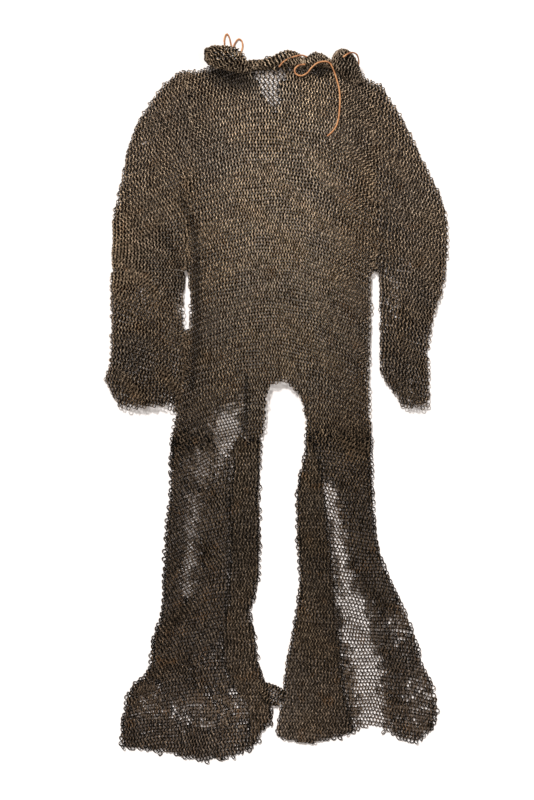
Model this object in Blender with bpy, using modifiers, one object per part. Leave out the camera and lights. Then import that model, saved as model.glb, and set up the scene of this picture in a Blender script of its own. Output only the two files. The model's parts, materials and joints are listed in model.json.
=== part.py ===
"""Long chainmail shirt lying flat on its back, front side up.

Metres, +Z up. +X is the viewer's right and +Y runs from the hem to the collar. The origin is
the middle of the shirt's outline, on the surface that it lies on. Left and right are the
viewer's. The mail is built as panels one layer thick; rings stand out along the hems, and
pairs of interlocked rings join the panels along each line where the shirt folds.
"""
import math

import bmesh
import bpy
from mathutils import Matrix, Vector

# Lengths along the shirt, from the collar's edge down to the hem
COLLAR_RISE = 0.050
UPPER_BODY = 0.400
LOWER_BODY = 0.296
UPPER_TAIL = 0.360
LOWER_TAIL = 0.322
FOREARM = 0.270

# Widths across the flattened shirt
BODY_WIDTH = 0.368
SLEEVE_WIDTH = 0.164
TAIL_WIDTH = 0.320
BODY_OFFSET = 0.010
CROTCH_OFFSET = 0.008

# The mail itself: one layer's thickness, and the link it is made of
MAIL = 0.0045
LINK_RADIUS = 0.0036
LINK_WIRE = 0.0014
HEM_LINK_PITCH = 0.0140
LINK_SIDES = 8
WIRE_SIDES = 4

# Heights and clearances between the layers
SEAT = 0.0003
HOLLOW = 0.0070
CROWN = 0.0040
FOLD = 0.0035
DRAPE = 0.0016
CREASE = 0.0040
EDGE_TURN = 0.018
TAIL_DROP = 0.060

# Where two panels meet on a fold line, measured from the fold axis
PARENT_GAP = 0.0028
CHILD_GAP = 0.0060
EYE_OFFSET = 0.0015
EYE_TILT = math.radians(10)

# Neck slit and crotch notch, both cut from the body panels
SLIT_WIDTH = 0.076
SLIT_DEPTH = 0.084
NOTCH_WIDTH = 0.082
NOTCH_DEPTH = 0.078
OVERRUN = 0.020

# Leather lace
LACE = 0.0026
LACE_STEP = 2.6 * LACE

# Heights of the layers, worked out from the mail's thickness
FRONT_LOW = MAIL + SEAT
FRONT_HIGH = MAIL + HOLLOW
TOP_AXIS_Z = FRONT_HIGH + MAIL
FLOOR_AXIS_Z = MAIL

# Stations along Y and the fold lines along X
SHIRT_LENGTH = COLLAR_RISE + UPPER_BODY + LOWER_BODY + UPPER_TAIL + LOWER_TAIL
HEM_LINK_REACH = 1.5 * LINK_RADIUS + LINK_WIRE / 2
HEM_Y = (HEM_LINK_REACH - SHIRT_LENGTH) / 2
KNEE_Y = HEM_Y + LOWER_TAIL
HIP_Y = KNEE_Y + UPPER_TAIL
ARMPIT_Y = HIP_Y + LOWER_BODY
SHOULDER_Y = ARMPIT_Y + UPPER_BODY
BODY_LENGTH = SHOULDER_Y - HIP_Y
HALF_BODY = BODY_WIDTH / 2
CROTCH_X = BODY_OFFSET + CROTCH_OFFSET
LEFT = -1
RIGHT = 1

# Half widths of the body below the armpit, as shares of half its width, armpit to hip
BODY_SIDE_SHARES = {
    LEFT: ((0.0, 1.0), (0.4, 1.0), (0.8, 1.03), (0.9, 1.08), (1.0, 1.16)),
    RIGHT: ((0.0, 1.0), (0.4, 0.985), (0.7, 0.975), (1.0, 0.98)),
}
# Height of the front's top edge across the body, as shares of the collar's rise
FRONT_TOP_SHARES = (
    (0.0, -0.05), (0.1, 0.16), (0.3, 0.26), (0.48, 0.22), (0.6, -0.12),
    (0.7, -0.22), (0.78, -0.10), (0.84, 0.20), (0.92, 0.10), (1.0, -0.55),
)
# The stretch of the front's top edge that is open for the neck
NECK_SHARES = (0.2, 0.9)
# Folds raised beside the armpits: places across, half width, height above the armpit and half length
FOLD_SHARES = (0.05, 0.95)
FOLD_REACH_SHARE = 0.06
FOLD_RISE_SHARE = 0.2
FOLD_LENGTH_SHARE = 0.18
# The crease down the body's left side: place across, half width, and height above the armpit
CREASE_SHARE = 0.042
CREASE_REACH_SHARE = 0.03
CREASE_RISE_SHARE = 0.09
# Waves in which the front lies: how many across and along the body, and where each starts
DRAPE_WAVE_SHARES = ((1.6, 1.9, 0.1), (-2.3, 2.6, 0.4), (2.9, 0.8, 0.75))
# Height of the back's top edge, which shows above the front between the collar rolls
BACK_TOP_SHARES = (
    (0.0, -0.05), (0.1, 0.10), (0.22, 0.2), (0.36, 0.55), (0.5, 0.72), (0.62, 0.66), (0.75, 0.45),
    (0.84, 0.2), (0.92, 0.06), (1.0, -0.55),
)
# A sleeve's outer edge above the elbow, as shares of the sleeve's width, shoulder to elbow
SLEEVE_OUTER_SHARES = {
    LEFT: ((0.0, 0.12), (0.045, 0.28), (0.14, 0.45), (0.24, 0.62), (0.39, 0.756), (0.64, 0.89),
           (0.74, 0.94), (1.0, 0.95)),
    RIGHT: ((0.0, 0.07), (0.09, 0.11), (0.14, 0.207), (0.24, 0.378), (0.39, 0.549), (0.49, 0.66),
            (0.59, 0.805), (0.74, 0.927), (1.0, 0.90)),
}
SLEEVE_TOP_SHARE = {LEFT: 0.0, RIGHT: 0.065}
# A forearm's edges, as shares of the sleeve's width, elbow to cuff
FOREARM_OUTER_SHARES = {
    LEFT: ((0.0, 0.95), (0.2, 0.963), (0.65, 0.963), (0.72, 1.0), (0.79, 1.06), (0.87, 0.975), (1.0, 0.88)),
    RIGHT: ((0.0, 0.90), (0.2, 0.829), (0.32, 0.744), (0.43, 0.72), (0.57, 0.67), (0.79, 0.683),
            (0.87, 0.707), (1.0, 0.69)),
}
FOREARM_INNER_SHARES = {
    LEFT: ((0.0, 0.065), (0.45, 0.065), (0.83, 0.134), (1.0, 0.158)),
    RIGHT: ((0.0, 0.073), (0.4, 0.085), (0.7, 0.075), (0.78, 0.10), (0.87, 0.232), (0.94, 0.317), (1.0, 0.36)),
}
# The tails' edges, as shares of a tail's width out from the crotch line
UPPER_TAIL_OUTER_SHARES = {
    LEFT: ((0.0, 0.694), (0.17, 0.72), (0.45, 0.725), (0.6, 0.75), (1.0, 0.77)),
    RIGHT: ((0.0, 0.5375), (0.39, 0.55), (0.555, 0.5625), (0.72, 0.5875), (0.83, 0.625), (0.944, 0.70),
            (1.0, 0.725)),
}
UPPER_TAIL_INNER_SHARES = {
    LEFT: ((0.0, 0.125), (0.11, 0.144), (0.33, 0.16), (0.66, 0.156), (0.89, 0.1625), (0.944, 0.1875), (1.0, 0.194)),
    RIGHT: ((0.0, 0.131), (0.17, 0.131), (0.22, 0.119), (0.33, 0.084), (0.44, 0.069), (0.67, 0.075),
            (0.94, 0.094), (1.0, 0.081)),
}
LOWER_TAIL_OUTER_SHARES = {
    LEFT: ((0.0, 0.77), (0.136, 0.7875), (0.27, 0.834), (0.476, 0.85), (0.544, 0.9125), (0.61, 0.9875),
           (0.75, 1.006), (0.82, 1.025), (1.0, 1.03)),
    RIGHT: ((0.0, 0.725), (0.17, 0.78), (0.336, 0.825), (0.5, 0.856), (0.67, 0.9125), (0.76, 0.9375),
            (0.92, 0.956), (1.0, 0.95)),
}
LOWER_TAIL_INNER_SHARES = {
    LEFT: ((0.0, 0.194), (0.084, 0.225), (0.25, 0.1875), (0.42, 0.18), (0.5, 0.169), (0.67, 0.131),
           (0.84, 0.094), (1.0, 0.078)),
    RIGHT: ((0.0, 0.081), (0.148, 0.056), (0.3, 0.025), (0.444, 0.003), (0.59, -0.01), (0.74, -0.025),
            (0.89, -0.05), (1.0, -0.072)),
}
# How far down the hem reaches, from a tail's inner edge to its outer one
HEM_DEPTH_SHARES = {
    LEFT: ((0.0, 0.74), (0.08, 0.84), (0.14, 0.93), (0.22, 0.963), (0.32, 0.994), (0.5, 1.0), (0.65, 0.963),
           (0.82, 0.94), (1.0, 0.913)),
    RIGHT: ((0.0, 0.84), (0.08, 0.882), (0.2, 0.90), (0.33, 0.87), (0.49, 0.826), (0.62, 0.776), (0.7, 0.826),
            (0.86, 0.882), (0.92, 0.87), (1.0, 0.74)),
}
# The strip of each tail that is folded over on itself: its width as a share of the tail's
TAIL_FOLD_SHARE = {LEFT: 0.19, RIGHT: 0.23}
TAIL_FOLD_END_SHARE = {LEFT: 0.70, RIGHT: 0.92}
# Neck slit and crotch notch outlines: across from the centre, and up or down from the mouth
SLIT_CENTRE_SHARE = 0.424
SLIT_SHARES = ((-0.28, 0.0), (-0.2, 0.36), (-0.07, 0.74), (0.07, 1.0), (0.17, 0.45), (0.23, 0.0))
NOTCH_SHARES = ((-0.5, 0.0), (-0.44, 0.64), (-0.33, 0.87), (-0.02, 1.0), (0.22, 0.8), (0.42, 0.46), (0.5, 0.0))

# Rows and columns of the panels
COLUMN_SHARES = (
    0.0, 0.012, 0.025, 0.042, 0.058, 0.072, 0.1, 0.2, 0.35, 0.42, 0.5, 0.58, 0.65, 0.72, 0.8, 0.9, 0.95,
    0.98, 1.0,
)
SLEEVE_COLUMN_SHARES = (0.0, 0.06, 0.15, 0.35, 0.6, 0.8, 0.89, 0.95, 1.0)
FOLD_COLUMN_SHARES = (0.0, 0.33, 0.67, 1.0)
BODY_ROWS = 36
SLEEVE_ROWS = 12
FOREARM_ROWS = 10
TAIL_ROWS = 12
# Links along the cuffs and the hem: the stretch of the edge, how far each is sunk in, and its tilt
CUFF_SPAN_SHARES = (0.12, 0.88)
HEM_SPAN_SHARES = (0.01, 0.99)
HEM_LINK_REACH_SHARE = 0.5
HEM_LINK_TILT = math.radians(12)
EDGE_STEPS = 400

# Interlocked link pairs along each fold line, as shares of the line's own size
SHOULDER_EYE_SHARES = (0.12, 0.42, 0.70)
ELBOW_EYE_SHARES = {LEFT: (0.3, 0.5, 0.7), RIGHT: (0.28, 0.46, 0.64)}
HIP_EYE_SHARES = (0.17, 0.51, 0.85)
KNEE_EYE_SHARES = {LEFT: (0.3, 0.48, 0.66), RIGHT: (0.2, 0.4, 0.6)}

# Collar rolls and back folds: place across the body, place over the shoulder line, and size;
# a roll also settles by so much over the edge that it lies on
COLLAR_ROLLS = {
    "collar_roll_left": (0.212, 0.0135, (0.084, 0.073, 0.030), 0.0003),
    "collar_roll_right": (0.847, 0.0180, (0.034, 0.054, 0.024), 0.0027),
}
COLLAR_FOLDS = {
    "collar_fold_left": (0.500, 0.0330, (0.072, 0.026, 0.016)),
    "collar_fold_right": (0.682, 0.0260, (0.050, 0.020, 0.012)),
}
ROLL_LEVELS = 2
FOLD_LEVELS = 1
# A lump's cage: how much larger it is than the rounded lump, how it leans, and how its corners draw in
LUMP_CAGE_SHARE = 1.06
LUMP_LEAN_SHARE = 0.12
LUMP_CORNER_SHARE = 0.16
# The rolled edge that bridges the tails near the hem: place from the crotch line and below the knee
HEM_ROLL_SHARE = (-0.085, 0.61)
HEM_ROLL_SIZE = (0.030, 0.044, 0.009)

# Lace routes, from the hand-chosen points that the leather passes through
LACE_ROUTES = {
    "lace_left": (
        (-0.1010, 0.6766, 0.0018), (-0.1015, 0.6960, 0.0017), (-0.1028, 0.7180, 0.0016), (-0.1035, 0.7330, 0.0015),
        (-0.0990, 0.7435, 0.0015), (-0.0935, 0.7360, 0.0015), (-0.0900, 0.7210, 0.0015), (-0.0865, 0.7155, 0.0015),
        (-0.0820, 0.7250, 0.0015), (-0.0755, 0.7330, 0.0015), (-0.0685, 0.7290, 0.0015), (-0.0670, 0.7170, 0.0016),
        (-0.0720, 0.7030, 0.0017), (-0.0775, 0.6920, 0.0018), (-0.0790, 0.6827, 0.0018),
    ),
    "lace_back": (
        (0.0060, 0.6730, 0.0218), (0.0140, 0.6830, 0.0220), (0.0260, 0.6900, 0.0217), (0.0400, 0.6950, 0.0212),
        (0.0520, 0.6970, 0.0200), (0.0620, 0.6940, 0.0184),
    ),
    "lace_main": (
        (0.058, 0.6790, 0.0190), (0.046, 0.6770, 0.0205), (0.0375, 0.6690, 0.0215), (0.0395, 0.6595, 0.0222),
        (0.050, 0.6555, 0.0225), (0.0625, 0.6615, 0.0222), (0.070, 0.6710, 0.0215), (0.082, 0.6810, 0.0210),
        (0.096, 0.6845, 0.0210), (0.1060, 0.6820, 0.0212), (0.1120, 0.6740, 0.0214), (0.1175, 0.6590, 0.0216),
        (0.1225, 0.6430, 0.0217), (0.1265, 0.6250, 0.0218), (0.1275, 0.6070, 0.0220), (0.1265, 0.5870, 0.0222),
        (0.1240, 0.5680, 0.0224), (0.1195, 0.5545, 0.0226), (0.1110, 0.5430, 0.0227), (0.1020, 0.5350, 0.0228),
    ),
    "lace_right": (
        (0.1330, 0.6890, 0.0412), (0.1410, 0.6950, 0.0412), (0.1505, 0.6985, 0.0400), (0.1600, 0.6960, 0.0345),
        (0.1645, 0.6870, 0.0265), (0.1645, 0.6770, 0.0190), (0.1610, 0.6700, 0.0133),
    ),
}

# Looks: colour, roughness, metallic
MAIL_LOOK = ((0.060, 0.050, 0.038), 0.45, 1.0)
MAIL_DARK_LOOK = ((0.045, 0.038, 0.030), 0.5, 1.0)
LACE_LOOK = ((0.45, 0.20, 0.08), 0.6, 0.0)


def clear_scene():
    for item in list(bpy.data.objects):
        bpy.data.objects.remove(item)


def new_collection(name):
    collection = bpy.data.collections.new(name)
    bpy.context.scene.collection.children.link(collection)
    return collection


def material_for(name, look):
    colour, roughness, metallic = look
    material = bpy.data.materials.new(name + "_material")
    material.use_nodes = True
    shader = material.node_tree.nodes["Principled BSDF"]
    shader.inputs["Base Color"].default_value = (*colour, 1.0)
    shader.inputs["Roughness"].default_value = roughness
    shader.inputs["Metallic"].default_value = metallic
    return material


def add_object(name, data, collection, look):
    item = bpy.data.objects.new(name, data)
    collection.objects.link(item)
    data.materials.append(material_for(name, look))
    return item


def read_share(shares, place):
    """The value of a table of shares at a place between its first and last row."""
    place = min(max(place, shares[0][0]), shares[-1][0])
    for (start, low), (end, high) in zip(shares, shares[1:]):
        if place <= end:
            return low + (high - low) * (place - start) / (end - start)
    return shares[-1][1]


def smooth(value):
    value = min(max(value, 0.0), 1.0)
    return value * value * (3.0 - 2.0 * value)


def turned_edge(distance):
    """Rise of a panel's closed edge: 0 at the edge, 1 once it has turned over."""
    share = min(max(distance / EDGE_TURN, 0.0), 1.0)
    return math.sqrt(1.0 - (1.0 - share) ** 2)


def body_x(across):
    """X of a place across the body, 0 at its left fold line and 1 at its right one."""
    return BODY_OFFSET - HALF_BODY + across * BODY_WIDTH


def shoulder_x(side):
    return BODY_OFFSET + side * HALF_BODY


def fold_bump(place, centre, reach):
    return smooth(1.0 - abs(place - centre) / reach)


def front_relief(across, edge_distance, y):
    """What stands out from the front's even height: its crown, folds, waves and side crease."""
    from_hip = smooth((y - HIP_Y) / EDGE_TURN - 0.5)
    crown = CROWN * math.sin(math.pi * across)
    folds = FOLD * sum(fold_bump(across, place, FOLD_REACH_SHARE) for place in FOLD_SHARES)
    folds *= fold_bump(y, ARMPIT_Y + FOLD_RISE_SHARE * UPPER_BODY, FOLD_LENGTH_SHARE * UPPER_BODY)
    turns = [math.sin(2.0 * math.pi * (sideways * across + along * (y - HIP_Y) / BODY_LENGTH + start))
             for sideways, along, start in DRAPE_WAVE_SHARES]
    from_edge = smooth(edge_distance / EDGE_TURN) * smooth((SHOULDER_Y - COLLAR_RISE - y) / COLLAR_RISE)
    waves = DRAPE * (1.0 + sum(turns) / len(turns)) / 2.0 * from_edge
    crease = CREASE * fold_bump(across, CREASE_SHARE, CREASE_REACH_SHARE)
    crease *= smooth((ARMPIT_Y + CREASE_RISE_SHARE * UPPER_BODY - y) / EDGE_TURN)
    return (crown + waves - crease) * from_hip + folds


def front_height(across, edge_distance, y):
    """Underside of the body's front panel above the surface that the shirt lies on."""
    armhole = smooth((y - ARMPIT_Y) / EDGE_TURN + 1.0)
    neck = 1.0 if NECK_SHARES[0] < across < NECK_SHARES[1] else 0.0
    side = max(turned_edge(edge_distance), armhole)
    top_distance = SHOULDER_Y + COLLAR_RISE * read_share(FRONT_TOP_SHARES, across) - y
    top = max(turned_edge(top_distance), neck)
    return FRONT_LOW + (FRONT_HIGH - FRONT_LOW) * side * top + front_relief(across, edge_distance, y)


def body_surface(across, up):
    """The front panel: across from left to right, up from the hip line to the shoulders."""
    top_y = SHOULDER_Y + COLLAR_RISE * read_share(FRONT_TOP_SHARES, across)
    bottom_y = HIP_Y + PARENT_GAP
    y = bottom_y + (top_y - bottom_y) * up
    below = min(max((ARMPIT_Y - y) / LOWER_BODY, 0.0), 1.0)
    above = smooth((y - ARMPIT_Y) / EDGE_TURN + 1.0)
    edges = []
    for side in (LEFT, RIGHT):
        closed = HALF_BODY * read_share(BODY_SIDE_SHARES[side], below) - MAIL
        folded = HALF_BODY - PARENT_GAP
        edges.append(BODY_OFFSET + side * (closed + (folded - closed) * above))
    x = edges[0] + (edges[1] - edges[0]) * across
    edge_distance = min(x - edges[0], edges[1] - x)
    return Vector((x, y, front_height(across, edge_distance, y)))


def sleeve_surface(side):
    """A sleeve's front panel above the elbow: out from the shoulder line, up from the elbow."""
    def surface(out, up):
        bottom_y = ARMPIT_Y + PARENT_GAP
        top_y = SHOULDER_Y - SLEEVE_TOP_SHARE[side] * UPPER_BODY
        y = bottom_y + (top_y - bottom_y) * up
        down = (SHOULDER_Y - y) / UPPER_BODY
        inner = CHILD_GAP
        outer = SLEEVE_WIDTH * read_share(SLEEVE_OUTER_SHARES[side], down) - MAIL
        outer = max(outer, inner + MAIL)
        reach = inner + (outer - inner) * out
        closed = turned_edge(outer - reach) * turned_edge(top_y - y)
        crown = CROWN * math.sin(math.pi * out) * smooth((y - bottom_y) / EDGE_TURN - 0.5) * closed
        height = FRONT_LOW + (FRONT_HIGH - FRONT_LOW) * closed + crown
        return Vector((shoulder_x(side) + side * reach, y, height))
    return surface


def forearm_surface(side):
    """A sleeve's front panel below the elbow: out from the torso, up from the cuff."""
    def surface(out, up):
        top_y = ARMPIT_Y - CHILD_GAP
        bottom_y = ARMPIT_Y - FOREARM
        y = bottom_y + (top_y - bottom_y) * up
        down = (ARMPIT_Y - y) / FOREARM
        inner = SLEEVE_WIDTH * read_share(FOREARM_INNER_SHARES[side], down) + MAIL
        outer = SLEEVE_WIDTH * read_share(FOREARM_OUTER_SHARES[side], down) - MAIL
        reach = inner + (outer - inner) * out
        closed = turned_edge(outer - reach) * turned_edge(reach - inner)
        crown = CROWN * math.sin(math.pi * out) * smooth((top_y - y) / EDGE_TURN - 0.5)
        height = FRONT_LOW + (FRONT_HIGH - FRONT_LOW) * closed + crown
        return Vector((shoulder_x(side) + side * reach, y, height))
    return surface


def tail_height(y):
    """Underside of a tail: level with the front at the hip, then down to the surface."""
    return FRONT_HIGH * (1.0 - smooth((HIP_Y - CHILD_GAP - y) / TAIL_DROP))


def upper_tail_surface(side, width_share=None, lift=0.0):
    """A tail above the knee: out from the crotch, up from the knee line to the hip line."""
    def surface(out, up):
        bottom_y = KNEE_Y + PARENT_GAP
        top_y = HIP_Y - CHILD_GAP
        y = bottom_y + (top_y - bottom_y) * up
        down = (HIP_Y - y) / UPPER_TAIL
        inner = read_share(UPPER_TAIL_INNER_SHARES[side], down)
        outer = read_share(UPPER_TAIL_OUTER_SHARES[side], down)
        if width_share:
            outer = inner + width_share
        reach = TAIL_WIDTH * (inner + (outer - inner) * out)
        return Vector((CROTCH_X + side * reach, y, tail_height(y) + lift))
    return surface


def lower_tail_surface(side, width_share=None, lift=0.0):
    """A tail below the knee: out from its inner edge, up from the hem to the knee line."""
    def surface(out, up):
        down = 1.0 - up
        inner = read_share(LOWER_TAIL_INNER_SHARES[side], down)
        outer = read_share(LOWER_TAIL_OUTER_SHARES[side], down)
        full_out = out
        if width_share:
            full_out = out * width_share / (outer - inner)
        reach = TAIL_WIDTH * (inner + (outer - inner) * full_out)
        depth = (LOWER_TAIL - CHILD_GAP) * read_share(HEM_DEPTH_SHARES[side], full_out)
        return Vector((CROTCH_X + side * reach, KNEE_Y - CHILD_GAP - depth * down, lift))
    return surface


def panel(name, surface, columns, rows, collection, look, start=0.0, end=1.0):
    """A sheet of mail one layer thick over a surface, its underside on the surface."""
    mesh = bpy.data.meshes.new(name)
    work = bmesh.new()
    bmesh.ops.create_grid(work, x_segments=len(columns) - 1, y_segments=rows, size=1.0)
    for vertex in work.verts:
        column = round((vertex.co.x + 1.0) / 2.0 * (len(columns) - 1))
        up = start + (end - start) * (vertex.co.y + 1.0) / 2.0
        vertex.co = surface(columns[column], up)
    bmesh.ops.recalc_face_normals(work, faces=work.faces)
    if sum(face.normal.z for face in work.faces) < 0.0:
        bmesh.ops.reverse_faces(work, faces=work.faces)
    work.to_mesh(mesh)
    work.free()
    item = add_object(name, mesh, collection, look)
    shell = item.modifiers.new("thickness", "SOLIDIFY")
    shell.thickness = MAIL
    shell.offset = 1.0
    shell.use_even_offset = False
    return item


def flat_panel(name, outline, collection, look):
    """A flat sheet of mail on the surface, from its outline."""
    curve = bpy.data.curves.new(name, "CURVE")
    curve.dimensions = "2D"
    curve.fill_mode = "BOTH"
    curve.extrude = MAIL / 2
    spline = curve.splines.new("POLY")
    spline.points.add(len(outline) - 1)
    for point, (x, y) in zip(spline.points, outline):
        point.co = (x, y, 0.0, 1.0)
    spline.use_cyclic_u = True
    item = add_object(name, curve, collection, look)
    item.location.z = MAIL / 2
    return item


def prism(name, outline, low, high, collection):
    """A cutter: an outline drawn straight up."""
    mesh = bpy.data.meshes.new(name)
    work = bmesh.new()
    base = work.faces.new([work.verts.new((x, y, low)) for x, y in outline])
    raised = bmesh.ops.extrude_face_region(work, geom=[base])
    top = [part for part in raised["geom"] if isinstance(part, bmesh.types.BMVert)]
    bmesh.ops.translate(work, verts=top, vec=(0.0, 0.0, high - low))
    bmesh.ops.recalc_face_normals(work, faces=work.faces)
    work.to_mesh(mesh)
    work.free()
    item = bpy.data.objects.new(name, mesh)
    collection.objects.link(item)
    item.hide_render = True
    item.display_type = "WIRE"
    return item


def cut(item, cutter, operation):
    change = item.modifiers.new(cutter.name, "BOOLEAN")
    change.object = cutter
    change.operation = operation


def link_mesh(sides, wire_sides):
    """One link: a closed ring of round wire about Z."""
    bpy.ops.mesh.primitive_torus_add(
        major_segments=sides, minor_segments=wire_sides,
        major_radius=LINK_RADIUS, minor_radius=LINK_WIRE / 2)
    template = bpy.context.active_object
    mesh = template.data
    bpy.data.objects.remove(template)
    return mesh


def link_set(name, places, collection, mesh):
    """Many links in one mesh; each place is a centre and the direction of the link's axis."""
    work = bmesh.new()
    for centre, axis in places:
        before = len(work.verts)
        work.from_mesh(mesh)
        work.verts.ensure_lookup_table()
        turn = Vector((0.0, 0.0, 1.0)).rotation_difference(axis).to_matrix().to_4x4()
        placing = Matrix.Translation(centre) @ turn
        bmesh.ops.transform(work, matrix=placing, verts=work.verts[before:])
    data = bpy.data.meshes.new(name)
    work.to_mesh(data)
    work.free()
    item = bpy.data.objects.new(name, data)
    collection.objects.link(item)
    item.hide_render = True
    item.display_type = "WIRE"
    return item


def eye_places(pivots, along, to_parent):
    """Interlocked link pairs on a fold axis: the parent's standing links, the child's lying ones."""
    to_child = -to_parent * math.cos(EYE_TILT) - Vector((0.0, 0.0, math.sin(EYE_TILT)))
    standing = [(pivot + to_parent * EYE_OFFSET, along) for pivot in pivots]
    lying = [(pivot + to_child * LINK_RADIUS, along.cross(to_child).normalized()) for pivot in pivots]
    return standing, lying


def hem_places(surface, span):
    """Links half sunk in a panel's lower edge, tilted to and fro, a pitch apart."""
    start, end = span
    points = [surface(start + (end - start) * step / EDGE_STEPS, 0.0) for step in range(EDGE_STEPS + 1)]
    places = []
    travelled = 0.0
    due = HEM_LINK_PITCH / 2
    for first, second in zip(points, points[1:]):
        travelled += (second - first).length
        if travelled < due:
            continue
        due += HEM_LINK_PITCH
        along = (second - first).normalized()
        outward = Vector((along.y, -along.x, 0.0))
        if outward.y > 0.0:
            outward.negate()
        tilt = HEM_LINK_TILT if len(places) % 2 else -HEM_LINK_TILT
        centre = second + outward * LINK_RADIUS * HEM_LINK_REACH_SHARE
        centre.z = second.z + MAIL / 2
        places.append((centre, Matrix.Rotation(tilt, 3, outward) @ Vector((0.0, 0.0, 1.0))))
    return places


def lump(name, centre, size, levels, collection, look):
    """A rolled or bunched piece of mail: a coarse cage rounded by subdivision."""
    mesh = bpy.data.meshes.new(name)
    work = bmesh.new()
    bmesh.ops.create_cube(work, size=1.0)
    bmesh.ops.subdivide_edges(work, edges=work.edges, cuts=1, use_grid_fill=True)
    for vertex in work.verts:
        lean = 1.0 + LUMP_LEAN_SHARE * vertex.co.x * (1.0 if vertex.co.y > 0 else -1.0)
        on_corner = min(abs(vertex.co.x), abs(vertex.co.y)) > 0.0
        draw = LUMP_CAGE_SHARE * (1.0 - LUMP_CORNER_SHARE if on_corner else 1.0)
        vertex.co = Vector((
            centre[0] + vertex.co.x * size[0] * draw,
            centre[1] + vertex.co.y * size[1] * draw * lean,
            centre[2] + vertex.co.z * size[2],
        ))
    work.to_mesh(mesh)
    work.free()
    item = add_object(name, mesh, collection, look)
    rounded = item.modifiers.new("rounding", "SUBSURF")
    rounded.levels = levels
    rounded.render_levels = levels
    for face in mesh.polygons:
        face.use_smooth = True
    return item


def route_points(route):
    """Points a few lace widths apart on a smooth curve through the route's own points."""
    knots = [Vector(point) for point in route]
    knots = [2 * knots[0] - knots[1]] + knots + [2 * knots[-1] - knots[-2]]
    fine = []
    for a, b, c, d in zip(knots, knots[1:], knots[2:], knots[3:]):
        for step in range(12):
            t = step / 12
            fine.append(0.5 * ((2 * b) + (c - a) * t + (2 * a - 5 * b + 4 * c - d) * t * t
                               + (3 * b - 3 * c + d - a) * t ** 3))
    fine.append(knots[-2])
    points = [fine[0]]
    for point in fine[1:-1]:
        if (point - points[-1]).length >= LACE_STEP:
            points.append(point)
    points.append(fine[-1])
    return points


def lace(name, route, collection, look):
    curve = bpy.data.curves.new(name, "CURVE")
    curve.dimensions = "3D"
    curve.bevel_depth = LACE / 2
    curve.bevel_resolution = 2
    curve.use_fill_caps = True
    points = route_points(route)
    spline = curve.splines.new("POLY")
    spline.points.add(len(points) - 1)
    for point, place in zip(spline.points, points):
        point.co = (*place, 1.0)
    return add_object(name, curve, collection, look)


def notch_outline():
    points = [(CROTCH_X + across * NOTCH_WIDTH, HIP_Y + up * NOTCH_DEPTH) for across, up in NOTCH_SHARES]
    return [(points[0][0], HIP_Y - OVERRUN)] + points + [(points[-1][0], HIP_Y - OVERRUN)]


def hip_span(side):
    """Where body and tail face each other along the hip line, measured out from the crotch line."""
    body_edge = HALF_BODY * BODY_SIDE_SHARES[side][-1][1] - MAIL - side * CROTCH_OFFSET
    near = max(NOTCH_WIDTH / 2, TAIL_WIDTH * UPPER_TAIL_INNER_SHARES[side][0][1])
    far = min(body_edge, TAIL_WIDTH * UPPER_TAIL_OUTER_SHARES[side][0][1])
    return near, far


def slit_outline():
    centre = body_x(SLIT_CENTRE_SHARE)
    top_y = SHOULDER_Y + COLLAR_RISE * read_share(FRONT_TOP_SHARES, SLIT_CENTRE_SHARE)
    points = [(centre + across * SLIT_WIDTH, top_y - down * SLIT_DEPTH) for across, down in SLIT_SHARES]
    return [(points[0][0], top_y + OVERRUN)] + points + [(points[-1][0], top_y + OVERRUN)]


def body_back_outline():
    """The back's outline: up the right side, over the neck, down the left, round the notch."""
    outline = []
    stations = (1.0, 0.9, 0.8, 0.6, 0.4, 0.0)
    for below in stations:
        reach = HALF_BODY * read_share(BODY_SIDE_SHARES[RIGHT], below) - PARENT_GAP
        outline.append((BODY_OFFSET + reach, ARMPIT_Y - below * LOWER_BODY))
    outline[0] = (outline[0][0], HIP_Y + PARENT_GAP)
    for across, rise in reversed(BACK_TOP_SHARES):
        x = min(max(body_x(across), shoulder_x(LEFT) + PARENT_GAP), shoulder_x(RIGHT) - PARENT_GAP)
        outline.append((x, SHOULDER_Y + COLLAR_RISE * rise))
    for below in reversed(stations):
        reach = HALF_BODY * read_share(BODY_SIDE_SHARES[LEFT], below) - PARENT_GAP
        outline.append((BODY_OFFSET - reach, max(ARMPIT_Y - below * LOWER_BODY, HIP_Y + PARENT_GAP)))
    for across, up in NOTCH_SHARES:
        outline.append((CROTCH_X + across * NOTCH_WIDTH, HIP_Y + max(up * NOTCH_DEPTH, PARENT_GAP)))
    return outline


def surface_outline(surface, rows, inner, outer):
    """The outline of a panel seen from above, its inner and outer edges moved out by so much."""
    near = [surface(0.0, row / rows) for row in range(rows + 1)]
    far = [surface(1.0, row / rows) for row in range(rows + 1)]
    way = 1 if far[0].x > near[0].x else -1
    outline = [(point.x + way * outer, point.y) for point in far]
    outline += [(point.x - way * inner, point.y) for point in reversed(near)]
    return outline


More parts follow.
